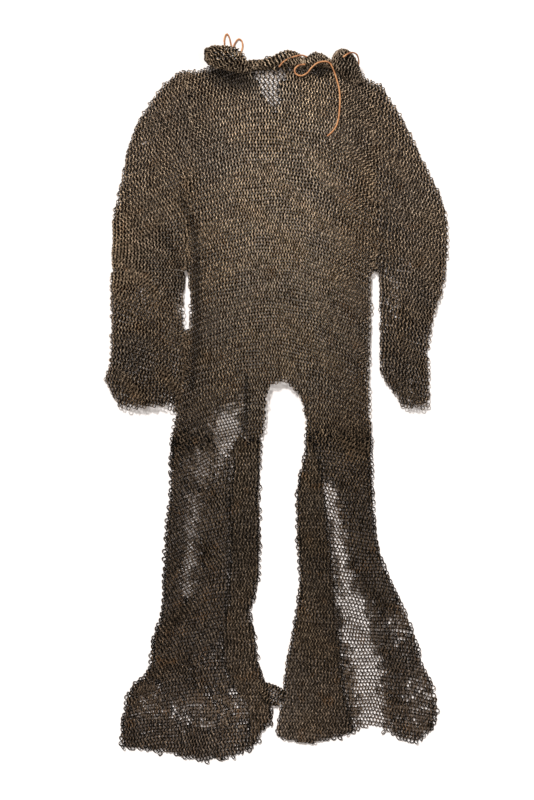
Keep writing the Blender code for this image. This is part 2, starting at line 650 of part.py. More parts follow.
def build():
    clear_scene()
    shirt = new_collection("long_chainmail_shirt")
    cutters = new_collection("cutters")
    plain_link = link_mesh(LINK_SIDES, WIRE_SIDES)
    x_axis = Vector((1.0, 0.0, 0.0))
    y_axis = Vector((0.0, 1.0, 0.0))

    body_front = panel("body_front", body_surface, COLUMN_SHARES, BODY_ROWS, shirt, MAIL_LOOK)
    flat_panel("body_back", body_back_outline(), shirt, MAIL_DARK_LOOK)
    body_links = []

    for side, word in ((LEFT, "left"), (RIGHT, "right")):
        sleeve = panel("sleeve_front_" + word, sleeve_surface(side), SLEEVE_COLUMN_SHARES, SLEEVE_ROWS,
                       shirt, MAIL_LOOK)
        forearm = panel("forearm_front_" + word, forearm_surface(side), SLEEVE_COLUMN_SHARES, FOREARM_ROWS,
                        shirt, MAIL_LOOK)
        flat_panel("sleeve_back_" + word, surface_outline(sleeve_surface(side), SLEEVE_ROWS, 0.0, MAIL),
                   shirt, MAIL_DARK_LOOK)
        flat_panel("forearm_back_" + word, surface_outline(forearm_surface(side), FOREARM_ROWS, MAIL, MAIL),
                   shirt, MAIL_DARK_LOOK)

        upper = upper_tail_surface(side)
        lower = lower_tail_surface(side)
        tail_columns = [share for share, depth in HEM_DEPTH_SHARES[side]]
        tail = panel("tail_" + word, upper, tail_columns, TAIL_ROWS, shirt, MAIL_LOOK)
        hem = panel("lower_tail_" + word, lower, tail_columns, TAIL_ROWS, shirt, MAIL_LOOK)
        layer = MAIL + SEAT
        fold_share = TAIL_FOLD_SHARE[side]
        panel("tail_fold_" + word, upper_tail_surface(side, fold_share, layer), FOLD_COLUMN_SHARES, TAIL_ROWS - 3,
              shirt, MAIL_LOOK, start=1 / TAIL_ROWS, end=1 - 2 / TAIL_ROWS)
        panel("lower_tail_fold_" + word, lower_tail_surface(side, fold_share, layer), FOLD_COLUMN_SHARES,
              TAIL_ROWS - 3, shirt, MAIL_LOOK, start=1 - TAIL_FOLD_END_SHARE[side], end=1 - 1 / TAIL_ROWS)

        shoulder_pivots = [Vector((shoulder_x(side), ARMPIT_Y + share * UPPER_BODY, TOP_AXIS_Z))
                           for share in SHOULDER_EYE_SHARES]
        elbow_pivots = [Vector((shoulder_x(side) + side * share * SLEEVE_WIDTH, ARMPIT_Y, TOP_AXIS_Z))
                        for share in ELBOW_EYE_SHARES[side]]
        near, far = hip_span(side)
        hip_pivots = [Vector((CROTCH_X + side * (near + share * (far - near)), HIP_Y, TOP_AXIS_Z))
                      for share in HIP_EYE_SHARES]
        knee_pivots = [Vector((CROTCH_X + side * share * TAIL_WIDTH, KNEE_Y, FLOOR_AXIS_Z))
                       for share in KNEE_EYE_SHARES[side]]
        torso_eyes, sleeve_eyes = eye_places(shoulder_pivots, y_axis, x_axis * -side)
        sleeve_ends, forearm_eyes = eye_places(elbow_pivots, x_axis, y_axis)
        torso_ends, tail_eyes = eye_places(hip_pivots, x_axis, y_axis)
        tail_ends, hem_eyes = eye_places(knee_pivots, x_axis, y_axis)
        body_links += torso_eyes + torso_ends
        cuff_links = hem_places(forearm_surface(side), CUFF_SPAN_SHARES)
        hem_links = hem_places(lower, HEM_SPAN_SHARES)
        for item, places in ((sleeve, sleeve_eyes + sleeve_ends), (forearm, forearm_eyes + cuff_links),
                             (tail, tail_eyes + tail_ends), (hem, hem_eyes + hem_links)):
            cut(item, link_set(item.name + "_links", places, cutters, plain_link), "UNION")

    cut(body_front, prism("crotch_notch", notch_outline(), FRONT_LOW - OVERRUN, TOP_AXIS_Z + OVERRUN, cutters),
        "DIFFERENCE")
    cut(body_front, prism("neck_slit", slit_outline(), FRONT_LOW - OVERRUN, TOP_AXIS_Z + OVERRUN, cutters),
        "DIFFERENCE")
    cut(body_front, link_set("body_front_links", body_links, cutters, plain_link), "UNION")

    for name, (across, rise, size, settling) in COLLAR_ROLLS.items():
        seat = TOP_AXIS_Z + CROWN * math.sin(math.pi * across) + SEAT - settling
        centre = (body_x(across), SHOULDER_Y + rise, seat + size[2] / 2)
        lump(name, centre, size, ROLL_LEVELS, shirt, MAIL_LOOK)
    for name, (across, rise, size) in COLLAR_FOLDS.items():
        centre = (body_x(across), SHOULDER_Y + rise, MAIL + SEAT + size[2] / 2)
        lump(name, centre, size, FOLD_LEVELS, shirt, MAIL_LOOK)
    across, below = HEM_ROLL_SHARE
    centre = (CROTCH_X + across * TAIL_WIDTH, KNEE_Y - below * LOWER_TAIL, MAIL + SEAT + HEM_ROLL_SIZE[2] / 2)
    lump("hem_roll", centre, HEM_ROLL_SIZE, FOLD_LEVELS, shirt, MAIL_LOOK)
    for name, route in LACE_ROUTES.items():
        lace(name, route, shirt, LACE_LOOK)


build()
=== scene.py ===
"""Looks of the long chainmail shirt: thousands of linked iron rings and a leather lace.

Metres, +Z up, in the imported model's frame. Left and right are the viewer's. The rings follow the
packed panels: each layer is a lattice of rings whose rows lean to and fro, so that every ring
passes through four others, laid over the panels' own height.
"""
import json
import math

import bpy
import numpy as np
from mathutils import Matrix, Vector
from mathutils.bvhtree import BVHTree


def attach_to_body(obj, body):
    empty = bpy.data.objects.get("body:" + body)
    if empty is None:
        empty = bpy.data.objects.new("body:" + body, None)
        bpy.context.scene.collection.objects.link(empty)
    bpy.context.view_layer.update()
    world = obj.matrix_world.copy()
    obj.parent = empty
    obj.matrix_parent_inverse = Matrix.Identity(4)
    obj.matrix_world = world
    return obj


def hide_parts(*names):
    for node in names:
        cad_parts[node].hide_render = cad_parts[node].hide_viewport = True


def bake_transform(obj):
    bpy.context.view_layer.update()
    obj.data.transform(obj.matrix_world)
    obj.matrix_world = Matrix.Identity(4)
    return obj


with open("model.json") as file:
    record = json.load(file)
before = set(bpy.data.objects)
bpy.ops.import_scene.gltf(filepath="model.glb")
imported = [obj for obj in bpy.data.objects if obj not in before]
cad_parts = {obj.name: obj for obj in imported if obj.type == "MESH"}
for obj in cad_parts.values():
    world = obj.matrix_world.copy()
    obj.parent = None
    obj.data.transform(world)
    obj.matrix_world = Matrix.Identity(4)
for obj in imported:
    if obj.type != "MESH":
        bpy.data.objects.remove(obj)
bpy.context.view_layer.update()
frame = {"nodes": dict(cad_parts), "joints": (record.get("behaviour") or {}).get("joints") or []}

JOINTS = {joint["name"]: joint for joint in frame["joints"]}

# Real sizes: the rings, from their middle to that of their wire, and the wire, from its middle out
RING_RADIUS = 0.00360
SLEEVE_RING_RADIUS = 0.00385
WIDE_RING_RADIUS = 0.00420
BACK_RING_RADIUS = 0.0038
BACK_SLEEVE_RING_RADIUS = 0.0040
WIRE_RADIUS = 0.00100
BACK_WIRE_RADIUS = 0.0011
WIDE_WIRE_RADIUS = 0.00105
PULLED_WIRE_RADIUS = 0.00092
ROLLED_WIRE_RADIUS = 0.00095
RIVET_SWELL = 1.32
LACE_WIDTH = 0.0032

# Lattices: how far apart the rings of a row and the rows stand
BODY_GRID = (0.0058, 0.0066)
SLEEVE_GRID = (0.0063, 0.0063)
TAIL_GRID = (0.0066, 0.0065)
FOLD_GRID = (0.0064, 0.0067)
NECK_GRID = (0.0092, 0.0055)
NECK_SHADE_GRID = (0.0060, 0.0060)
ROLL_GRID = (0.0056, 0.0062)

# How far the rings lean along their rows, in radians: less on the back, which lies flat
BODY_LEAN = 0.66
SLEEVE_LEAN = 0.68
BACK_LEAN = 0.50

# Photograph's scale: metres a pixel, its height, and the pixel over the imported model's origin
SCALE = 0.002
PHOTO_HEIGHT_PX = 800
ORIGIN_PX = (276.0, 404.5)

LEFT, RIGHT = -1, 1
WORDS = {LEFT: "left", RIGHT: "right"}
SHOULDER_X = {side: JOINTS["shoulder_" + WORDS[side]]["pos_m"][0] for side in WORDS}
ARMPIT_Y = JOINTS["elbow_left"]["pos_m"][1]
HIP_Y = JOINTS["hip_left"]["pos_m"][1]
KNEE_Y = JOINTS["knee_left"]["pos_m"][1]

# Gap between the tails at the crotch and, further left, at the hem
CROTCH_X = 0.018
HEM_GAP_X = -0.006

# Half the breadth of the strips of rings that lie over a fold line
STRIP = 0.014

# How far from a fold line the parent's and the child's panel begin, and where they are read
PARENT_GAP = 0.0065
CHILD_GAP = 0.0088
ON_PARENT = 0.0068
ON_CHILD = 0.0090


def at(px, py):
    """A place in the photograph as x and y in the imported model's frame."""
    return (px - ORIGIN_PX[0]) * SCALE, (ORIGIN_PX[1] - py) * SCALE


def pixel(x, y):
    """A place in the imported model's frame as a pixel of the photograph."""
    return ORIGIN_PX[0] + x / SCALE, ORIGIN_PX[1] - y / SCALE


def unit(vector):
    return vector / np.linalg.norm(vector)


def step(low, high, value):
    """A smooth step from 0 at low to 1 at high."""
    share = min(max((value - low) / (high - low), 0.0), 1.0)
    return share * share * (3 - 2 * share)


def spline_point(a, b, c, d, t):
    """A place between b and c on the smooth curve through a, b, c and d."""
    return 0.5 * (2 * b + (c - a) * t + (2 * a - 5 * b + 4 * c - d) * t ** 2
                  + (3 * b - 3 * c + d - a) * t ** 3)


# Camera, floor and light

CAMERA_PX = (267, 400)
CAMERA_HEIGHT = 3.6
SENSOR_HEIGHT = 36
MAIL_MIDDLE = 0.012

# The floor: its size, how far it lies under the shirt, and its own light
FLOOR_SIZE = 12
FLOOR_DROP = 0.0006
FLOOR_GLOW = 0.13

# Lamps: where they shine from, their breadth in degrees, and their strength
LAMPS = {
    "key": ((-0.38, 0.85, 1.20), 12, 3.8),
    "fill": ((0.9, -0.25, 1.5), 40, 0.5),
}
WORLD_STRENGTH = 0.12


def make_camera():
    """Straight above the shirt, so that the photograph's height shows the same stretch of the mail."""
    data = bpy.data.cameras.new("camera")
    camera = bpy.data.objects.new("camera", data)
    bpy.context.scene.collection.objects.link(camera)
    data.sensor_fit = "VERTICAL"
    data.sensor_height = SENSOR_HEIGHT
    data.lens = SENSOR_HEIGHT * (CAMERA_HEIGHT - MAIL_MIDDLE) / (PHOTO_HEIGHT_PX * SCALE)
    camera.location = (*at(*CAMERA_PX), CAMERA_HEIGHT)
    bpy.context.scene.camera = camera


def new_node(nodes, kind, **constants):
    """A shader node, with constants set on its sockets."""
    node = nodes.new(kind)
    for socket, value in constants.items():
        node.inputs[socket].default_value = value
    return node


def seen_rays(nodes, links):
    """1 for the rays that see a surface from the camera, in a reflection or through glass."""
    path = nodes.new("ShaderNodeLightPath")
    seen = path.outputs["Is Camera Ray"]
    for kind in ("Is Glossy Ray", "Is Transmission Ray"):
        either = nodes.new("ShaderNodeMath")
        either.operation = "MAXIMUM"
        links.new(seen, either.inputs[0])
        links.new(path.outputs[kind], either.inputs[1])
        seen = either.outputs[0]
    return seen


def make_stage():
    """A white table, bright enough to be white around the shirt and dark beneath it."""
    bpy.ops.mesh.primitive_plane_add(size=FLOOR_SIZE)
    floor = bpy.context.active_object
    floor.name = "floor"
    floor.location.z = -FLOOR_DROP
    material = bpy.data.materials.new("floor_white")
    material.use_nodes = True
    nodes, links = material.node_tree.nodes, material.node_tree.links
    nodes.clear()
    out = nodes.new("ShaderNodeOutputMaterial")
    diffuse = new_node(nodes, "ShaderNodeBsdfDiffuse", Color=(0.90, 0.86, 0.835, 1))
    glow = new_node(nodes, "ShaderNodeEmission", Color=(1.0, 0.82, 0.72, 1), Strength=FLOOR_GLOW)
    only_seen = nodes.new("ShaderNodeMixShader")
    links.new(seen_rays(nodes, links), only_seen.inputs["Fac"])
    links.new(glow.outputs[0], only_seen.inputs[2])
    lit = nodes.new("ShaderNodeAddShader")
    links.new(diffuse.outputs[0], lit.inputs[0])
    links.new(only_seen.outputs[0], lit.inputs[1])
    links.new(lit.outputs[0], out.inputs["Surface"])
    floor.data.materials.append(material)


def make_light():
    """A white world for the rays that see it, a dim one for the rest, and two soft suns."""
    world = bpy.data.worlds.new("world")
    bpy.context.scene.world = world
    world.use_nodes = True
    nodes, links = world.node_tree.nodes, world.node_tree.links
    background = nodes["Background"]
    white = new_node(nodes, "ShaderNodeBackground", Color=(1, 1, 1, 1), Strength=1.0)
    background.inputs["Color"].default_value = (1.0, 0.98, 0.95, 1)
    background.inputs["Strength"].default_value = WORLD_STRENGTH
    mix = nodes.new("ShaderNodeMixShader")
    links.new(seen_rays(nodes, links), mix.inputs["Fac"])
    links.new(background.outputs[0], mix.inputs[1])
    links.new(white.outputs[0], mix.inputs[2])
    links.new(mix.outputs[0], nodes["World Output"].inputs["Surface"])
    for name, (place, spread, strength) in LAMPS.items():
        data = bpy.data.lights.new(name, "SUN")
        data.angle = math.radians(spread)
        data.energy = strength
        lamp = bpy.data.objects.new(name, data)
        bpy.context.scene.collection.objects.link(lamp)
        lamp.location = place
        lamp.rotation_euler = (-Vector(place)).to_track_quat("-Z", "Y").to_euler()


# Materials


def new_material(name):
    material = bpy.data.materials.new(name)
    material.use_nodes = True
    return material, material.node_tree.nodes, material.node_tree.links


def noise_node(nodes, links, vector, scale, detail):
    node = new_node(nodes, "ShaderNodeTexNoise", Scale=scale, Detail=detail)
    links.new(vector, node.inputs["Vector"])
    return node.outputs["Fac"]


def ramp_node(nodes, links, value, stops):
    node = nodes.new("ShaderNodeValToRGB")
    ramp = node.color_ramp
    while len(ramp.elements) < len(stops):
        ramp.elements.new(0.5)
    for element, (place, colour) in zip(ramp.elements, stops):
        element.position = place
        element.color = (*colour, 1)
    links.new(value, node.inputs["Fac"])
    return node.outputs["Color"]


def mix_node(nodes, links, share, first, second, blend="MIX"):
    node = nodes.new("ShaderNodeMix")
    node.data_type = "RGBA"
    node.blend_type = blend
    if isinstance(share, float):
        node.inputs["Factor"].default_value = share
    else:
        links.new(share, node.inputs["Factor"])
    links.new(first, node.inputs["A"])
    links.new(second, node.inputs["B"])
    return node.outputs["Result"]


def colour_node(nodes, colour):
    node = nodes.new("ShaderNodeRGB")
    node.outputs[0].default_value = (*colour, 1)
    return node.outputs[0]


def add_bump(nodes, links, shader, height, strength, distance):
    bump = new_node(nodes, "ShaderNodeBump", Strength=strength, Distance=distance)
    links.new(height, bump.inputs["Height"])
    links.new(bump.outputs["Normal"], shader.inputs["Normal"])


# How far the place-dependent tones reach from the middle, along and across the shirt
TONE_REACH_Y = 0.72
TONE_REACH_X = 0.34


def place_dim(nodes, links, place):
    """Brighter on the chest and darker towards the hem, as painted light falloff from the top; darker and a
    little browner towards the sleeves.
    """
    parts = nodes.new("ShaderNodeSeparateXYZ")
    links.new(place, parts.inputs[0])
    along = ramp_range(nodes, links, parts.outputs["Y"], -TONE_REACH_Y, TONE_REACH_Y, (
        (0.00, (0.33, 0.31, 0.31)),
        (0.08, (0.27, 0.25, 0.24)),
        (0.30, (0.17, 0.155, 0.14)),
        (0.44, (0.27, 0.25, 0.23)),
        (0.62, (0.52, 0.50, 0.48)),
        (0.80, (0.80, 0.78, 0.76)),
        (1.00, (0.78, 0.76, 0.75)),
    ))
    centred = nodes.new("ShaderNodeMath")
    centred.operation = "ABSOLUTE"
    links.new(parts.outputs["X"], centred.inputs[0])
    across = ramp_range(nodes, links, centred.outputs[0], 0.0, TONE_REACH_X, (
        (0.20, (1.0, 1.0, 1.0)),
        (0.50, (0.64, 0.62, 0.61)),
        (0.75, (0.62, 0.60, 0.59)),
        (1.00, (0.66, 0.63, 0.60)),
    ))
    return mix_node(nodes, links, 1.0, along, across, "MULTIPLY")


def ramp_range(nodes, links, value, low, high, stops):
    """The colour of a ramp whose ends are two values of a place's coordinate."""
    spread = new_node(nodes, "ShaderNodeMapRange", **{"From Min": low, "From Max": high})
    links.new(value, spread.inputs["Value"])
    return ramp_node(nodes, links, spread.outputs["Result"], stops)


def iron_material():
    """Aged iron wire: each ring a little different, browner patches, rust towards the cuffs, painted light
    falloff towards the hem, and grime with painted shade on the rings' sunk arcs.
    """
    material, nodes, links = new_material("aged_iron")
    shader = nodes["Principled BSDF"]
    place = nodes.new("ShaderNodeTexCoord").outputs["Object"]
    per_ring = noise_node(nodes, links, place, 170, 1)
    tone = ramp_node(nodes, links, per_ring, (
        (0.32, (0.200, 0.148, 0.102)),
        (0.50, (0.450, 0.350, 0.255)),
        (0.66, (0.940, 0.760, 0.570)),
    ))
    patch = noise_node(nodes, links, place, 9, 3)
    warmth = ramp_node(nodes, links, patch, (
        (0.35, (0.92, 0.92, 0.92)),
        (0.62, (1.06, 1.0, 0.90)),
    ))
    dim = place_dim(nodes, links, place)
    warm = mix_node(nodes, links, 1.0, warmth, dim, "MULTIPLY")
    toned = mix_node(nodes, links, 1.0, tone, warm, "MULTIPLY")
    rust_noise = noise_node(nodes, links, place, 38, 4)
    rust_share = ramp_node(nodes, links, rust_noise, (
        (0.58, (0.0, 0.0, 0.0)),
        (0.74, (0.5, 0.5, 0.5)),
    ))
    rust = colour_node(nodes, (0.20, 0.105, 0.045))
    rusty = mix_node(nodes, links, rust_share, toned, rust)
    # Grime and painted shade: the rings' sunk arcs and inner sides are darkened by the attribute that
    # ring_mesh stores
    grime_and_shade = colour_node(nodes, (0.008, 0.006, 0.004))
    wear = nodes.new("ShaderNodeAttribute")
    wear.attribute_name = "wear"
    final = mix_node(nodes, links, wear.outputs["Fac"], grime_and_shade, rusty)
    links.new(final, shader.inputs["Base Color"])
    shader.inputs["Metallic"].default_value = 0.80
    shader.inputs["Specular IOR Level"].default_value = 0.2
    rough = ramp_node(nodes, links, per_ring, (
        (0.3, (0.62, 0.62, 0.62)),
        (0.7, (0.36, 0.36, 0.36)),
    ))
    dull = colour_node(nodes, (0.95, 0.95, 0.95))
    sheen = mix_node(nodes, links, wear.outputs["Fac"], dull, rough)
    links.new(sheen, shader.inputs["Roughness"])
    pits = noise_node(nodes, links, place, 1400, 2)
    add_bump(nodes, links, shader, pits, 0.35, 0.0002)
    return material


def leather_material():
    """Orange-brown leather thong with darker worn stretches and a fine grain."""
    material, nodes, links = new_material("lace_leather")
    shader = nodes["Principled BSDF"]
    place = nodes.new("ShaderNodeTexCoord").outputs["Object"]
    tone_marks = noise_node(nodes, links, place, 60, 4)
    tone = ramp_node(nodes, links, tone_marks, (
        (0.32, (0.24, 0.085, 0.030)),
        (0.52, (0.56, 0.235, 0.085)),
        (0.70, (0.72, 0.370, 0.165)),
    ))
    links.new(tone, shader.inputs["Base Color"])
    shader.inputs["Roughness"].default_value = 0.62
    grain = noise_node(nodes, links, place, 1100, 3)
    add_bump(nodes, links, shader, grain, 0.5, 0.0003)
    return material


# Laces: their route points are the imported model's, in millimetres

LACE_ROUTES = {
    "lace_left": (
        (-101, 676.6, 1.8), (-101.5, 696, 1.7), (-102.8, 718, 1.6), (-103.5, 733, 1.5),
        (-99, 743.5, 1.5), (-93.5, 736, 1.5), (-90, 721, 1.5), (-86.5, 715.5, 1.5), (-82, 725, 1.5),
        (-75.5, 733, 1.5), (-68.5, 729, 1.5), (-67, 717, 1.6), (-72, 703, 1.7), (-77.5, 692, 1.8),
        (-79, 682.7, 1.8),
    ),
    "lace_back": (
        (6, 673, 21.8), (14, 683, 22), (26, 690, 21.7), (40, 695, 21.2), (52, 697, 20), (62, 694, 18.4),
    ),
    "lace_main": (
        (58, 679, 19), (46, 677, 20.5), (37.5, 669, 21.5), (39.5, 659.5, 22.2), (50, 655.5, 22.5),
        (62.5, 661.5, 22.2), (70, 671, 21.5), (82, 681, 21), (96, 684.5, 21), (106, 682, 21.2),
        (112, 674, 21.4), (117.5, 659, 21.6), (122.5, 643, 21.7), (126.5, 625, 21.8), (127.5, 607, 22),
        (126.5, 587, 22.2), (124, 568, 22.4), (119.5, 554.5, 22.6), (111, 543, 22.7), (102, 535, 22.8),
    ),
    "lace_right": (
        (133, 689, 41.2), (141, 695, 41.2), (150.5, 698.5, 40), (160, 696, 34.5), (164.5, 687, 26.5),
        (164.5, 677, 19), (161, 670, 13.3),
    ),
}
ROUTE_CUTS = 16
ROUTE_STEP = 0.0025

# The thong swells and thins along its length, and its middle lies at least this high
LACE_SWELL = 0.10
LACE_REST_Z = 0.56 * LACE_WIDTH


def smooth_route(route):
    """Points about a step apart on a smooth curve through the route's own points."""
    knots = [np.array(point) / 1000 for point in route]
    knots = [2 * knots[0] - knots[1]] + knots + [2 * knots[-1] - knots[-2]]
    fine = []
    for a, b, c, d in zip(knots, knots[1:], knots[2:], knots[3:]):
        fine += [spline_point(a, b, c, d, t) for t in np.arange(ROUTE_CUTS) / ROUTE_CUTS]
    fine.append(knots[-2])
    points = [fine[0]]
    for point in fine[1:-1]:
        if np.linalg.norm(point - points[-1]) >= ROUTE_STEP:
            points.append(point)
    points.append(fine[-1])
    return np.array(points)


def make_laces(leather):
    for name, route in LACE_ROUTES.items():
        points = smooth_route(route)
        points[:, 2] = np.maximum(points[:, 2], LACE_REST_Z)
        curve = bpy.data.curves.new(name + "_leather", "CURVE")
        curve.dimensions = "3D"
        curve.bevel_depth = LACE_WIDTH / 2
        curve.bevel_resolution = 3
        curve.use_fill_caps = True
        spline = curve.splines.new("POLY")
        spline.points.add(len(points) - 1)
        for index, (point, place) in enumerate(zip(spline.points, points)):
            point.co = (*place, 1)
            point.radius = 1.0 + LACE_SWELL * math.sin(1.7 * index) * math.cos(0.6 * index)
        lace = bpy.data.objects.new(name + "_leather", curve)
        bpy.context.scene.collection.objects.link(lace)
        curve.materials.append(leather)
        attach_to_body(lace, "body")
        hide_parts(name)


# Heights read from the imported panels

LOOK_FROM_Z = 0.3
LOOK_STEP = 0.003

# Where the left sleeve touches the body: low and high pixel, and how far the rings close the gap
SLEEVE_TOUCHES = (
    ((168, 330), (196, 413), 0.012),
    ((176, 262), (196, 290), 0.003),
)


def panel_tree(*nodes):
    """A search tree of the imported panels' faces."""
    points, faces = [], []
    for node in nodes:
        mesh = frame["nodes"][node].data
        start = len(points)
        points += [vertex.co.copy() for vertex in mesh.vertices]
        faces += [[start + corner for corner in face.vertices] for face in mesh.polygons]
    return BVHTree.FromPolygons(points, faces)


def beyond_shoulder(x):
    return x < SHOULDER_X[LEFT] or x > SHOULDER_X[RIGHT]


def off_line(value, line):
    """The same height along the shirt, or one on the nearer panel where it lies in a fold line's gap."""
    if -CHILD_GAP < value - line < PARENT_GAP:
        return line + (ON_PARENT if value > line else -ON_CHILD)
    return value


def off_the_joints(x, y):
    """The same place, or the nearest one on a panel where it lies over a fold line's gap."""
    for side in WORDS:
        out = (x - SHOULDER_X[side]) * side
        if y > ARMPIT_Y and -PARENT_GAP < out < CHILD_GAP:
            x = SHOULDER_X[side] + side * (-ON_PARENT if out < 0.0 else ON_CHILD)
    y = off_line(off_line(y, HIP_Y), KNEE_Y)
    return x, off_line(y, ARMPIT_Y) if beyond_shoulder(x) else y


def top_of(tree, x, y):
    """The panel's upper surface over a place, or None where there is no panel."""
    steps = [0.0]
    px, py = pixel(x, y)
    for (x1, y1), (x2, y2), reach in SLEEVE_TOUCHES:
        if x1 < px < x2 and y1 < py < y2:
            parts = np.arange(LOOK_STEP, reach + LOOK_STEP / 2, LOOK_STEP)
            steps += [sign * part for part in parts for sign in (-1, 1)]
    for dx in steps:
        hit = tree.ray_cast(Vector((*off_the_joints(x + dx, y), LOOK_FROM_Z)), Vector((0, 0, -1)))
        if hit[0] is not None:
            return hit[0].z
    return None


def waves(seed, count, longest, shortest):
    """Smooth made-up variation: a function of x and y from about -1 to 1."""
    rng = np.random.default_rng(seed)
    length = np.exp(rng.uniform(np.log(shortest), np.log(longest), count))
    angle = rng.uniform(0, 2 * np.pi, count)
    phase = rng.uniform(0, 2 * np.pi, count)
    kx, ky = np.cos(angle) * 2 * np.pi / length, np.sin(angle) * 2 * np.pi / length

    def value(x, y):
        return float(np.sin(kx * x + ky * y + phase).sum() / math.sqrt(count))
    return value


SWAY_X = waves(11, 9, 0.30, 0.07)
SWAY_Y = waves(12, 9, 0.30, 0.06)
DRAPE = waves(13, 10, 0.20, 0.06)
EDGE = waves(14, 9, 0.040, 0.009)

# Creases of the front, along points in the photograph: width and depth in metres
CREASES = (
    (((170, 190), (184, 200), (193, 215)), 0.0050, 0.0045),
    (((166, 232), (178, 252)), 0.0060, 0.0045),
    (((386, 204), (384, 232), (380, 264)), 0.0050, 0.0055),
    (((377, 264), (374, 330), (372, 400)), 0.0040, 0.0030),
    (((222, 78), (240, 86)), 0.0080, 0.0030),
)

# Lines of painted shade in creases and along the left tail's fold, and of painted shadow under the left
# roll, in the same way: their depth is the share of darkness
DARK_LINES = (
    (((181, 196), (190, 215), (196, 240), (197, 300), (197, 345), (192, 385)), 0.0058, 0.70),
    (((163, 235), (176, 255), (184, 290)), 0.0050, 0.50),
    (((386, 200), (384, 232), (378, 264), (374, 330), (372, 380)), 0.0045, 0.45),
    (((246, 376), (247, 400), (244, 430)), 0.0034, 0.85),
    (((216, 68), (226, 76), (240, 82), (250, 84)), 0.0140, 0.60),
)


def crease(x, y, lines=CREASES):
    """How deep the creases along some lines are at a place."""
    deepest = 0.0
    for points, width, depth in lines:
        for start, end in zip(points, points[1:]):
            (x1, y1), (x2, y2) = at(*start), at(*end)
            dx, dy = x2 - x1, y2 - y1
            share = min(max(((x - x1) * dx + (y - y1) * dy) / (dx * dx + dy * dy), 0.0), 1.0)
            away = math.hypot(x - x1 - share * dx, y - y1 - share * dy)
            if away < 3 * width:
                deepest = max(deepest, depth * math.exp(-0.5 * (away / width) ** 2))
    return deepest


# How the rows lie: places on the unrolled mail, moved to where they lie on the shirt

LAYERS_APART = 0.013
ROW_BEND = 1.55
ROW_MIDDLE_X = -0.016

# How far the rows sway, in metres: on the body, and along x and y where the mail is pulled wide
BODY_SWAY = 0.0020
WIDE_SWAY = (0.0024, 0.0026)

# The tails: how far they drift, over which length, their middles from the crotch, and how far
# under the hips the rows begin to close up
TAIL_DRIFT = {LEFT: -0.026, RIGHT: 0.030}
DRIFT_LENGTH = 0.65
TAIL_MIDDLE = 0.130
CLOSING_DROP = 0.03

# The sleeves' slope, and how much the lower half of each changes it
SLEEVE_SLOPE = 0.45
LOWER_SLOPE = {LEFT: -0.35, RIGHT: 0.30}


def sag(x, y):
    """How far a row of the body or a tail lies below its height at the body's middle."""
    if x < ROW_MIDDLE_X:
        share = 1.0 - 0.65 * step(-0.25, -0.55, y)
    else:
        share = 1.0 - 0.80 * step(0.05, -0.15, y)
    return -ROW_BEND * share * (x - ROW_MIDDLE_X) ** 2


def drift_of(side, down):
    return TAIL_DRIFT[side] * step(0.0, DRIFT_LENGTH, down)


def lay_body(u, v):
    """The body and the tails: the tails' rings stand a little further apart and drift outwards."""
    side = LEFT if u < CROTCH_X else RIGHT
    down = max(HIP_Y - v, 0.0)
    spread = 1.0 + 0.10 * step(0.0, 0.25, down) + 0.06 * step(0.30, 0.60, down)
    middle = CROTCH_X + side * TAIL_MIDDLE
    x = middle + drift_of(side, down) + (u - middle) * spread if down > 0.0 else u
    x = ROW_MIDDLE_X + (x - ROW_MIDDLE_X) * (1.0 + 0.06 * step(0.35, 0.55, v))
    y = v - 0.14 * max(down - CLOSING_DROP, 0.0) + sag(x, v)
    return x + BODY_SWAY * SWAY_X(u, v), y + BODY_SWAY * SWAY_Y(u, v)


def lay_tail(u, v):
    """The tails' mail, pulled wide: it hangs from the body's rows and drifts outwards."""
    down = max(HIP_Y - v, 0.0)
    side = LEFT if u < CROTCH_X else RIGHT
    smile = 0.9 * (u + 0.136) ** 2 * step(0.45, 0.62, down) if side == LEFT else 0.0
    y = v - 0.10 * max(down - CLOSING_DROP, 0.0) + sag(u, v) + smile
    sway_x, sway_y = WIDE_SWAY
    return u + drift_of(side, down) + sway_x * SWAY_X(u, v), y + sway_y * SWAY_Y(u, v)


def lay_sleeve(u, v):
    """The sleeves: their rows carry on the body's and slope down outwards, more so at the top."""
    side = LEFT if u < ROW_MIDDLE_X else RIGHT
    out = (u - SHOULDER_X[side]) * side
    slope = SLEEVE_SLOPE * step(0.18, 0.50, v) + LOWER_SLOPE[side] * step(0.50, 0.18, v)
    y = v + sag(SHOULDER_X[side], v) - slope * out
    wavy = 1.0 + 1.2 * step(0.35, 0.15, v)
    sway_x, sway_y = WIDE_SWAY
    return u + sway_x * SWAY_X(u, v), y + sway_y * wavy * SWAY_Y(u, v)


def lay_plain(u, v):
    return u + BODY_SWAY * SWAY_X(u, v), v + BODY_SWAY * SWAY_Y(u, v) + 0.6 * sag(u, v)


def laid_behind(lay):
    """The same rows spread a little, so that from above they keep their place under the front's."""
    middle_x, middle_y = at(*CAMERA_PX)
    spread = 1.0 + LAYERS_APART / CAMERA_HEIGHT

    def value(u, v):
        x, y = lay(u, v)
        return middle_x + (x - middle_x) * spread, middle_y + (y - middle_y) * spread
    return value


# Places where a layer is so thin that the floor shows: pixel, half sizes, share open

THIN_TAILS = (
    (226, 432, 15, 27, 1.25), (240, 402, 7, 14, 0.5), (203, 464, 22, 24, 0.55), (205, 655, 22, 22, 0.2),
    (196, 712, 66, 26, 0.36), (148, 702, 20, 22, 0.5), (246, 708, 24, 20, 0.45), (418, 700, 18, 42, 0.5),
    (398, 625, 12, 24, 0.45), (378, 735, 14, 14, 0.5),
)
THIN_BACK = (
    (147, 290, 14, 16, 0.6), (394, 295, 8, 22, 0.8), (408, 262, 7, 12, 0.5), (181, 300, 6, 34, 0.4),
    (145, 143, 5, 4, 0.9), (415, 395, 9, 12, 0.5),
)

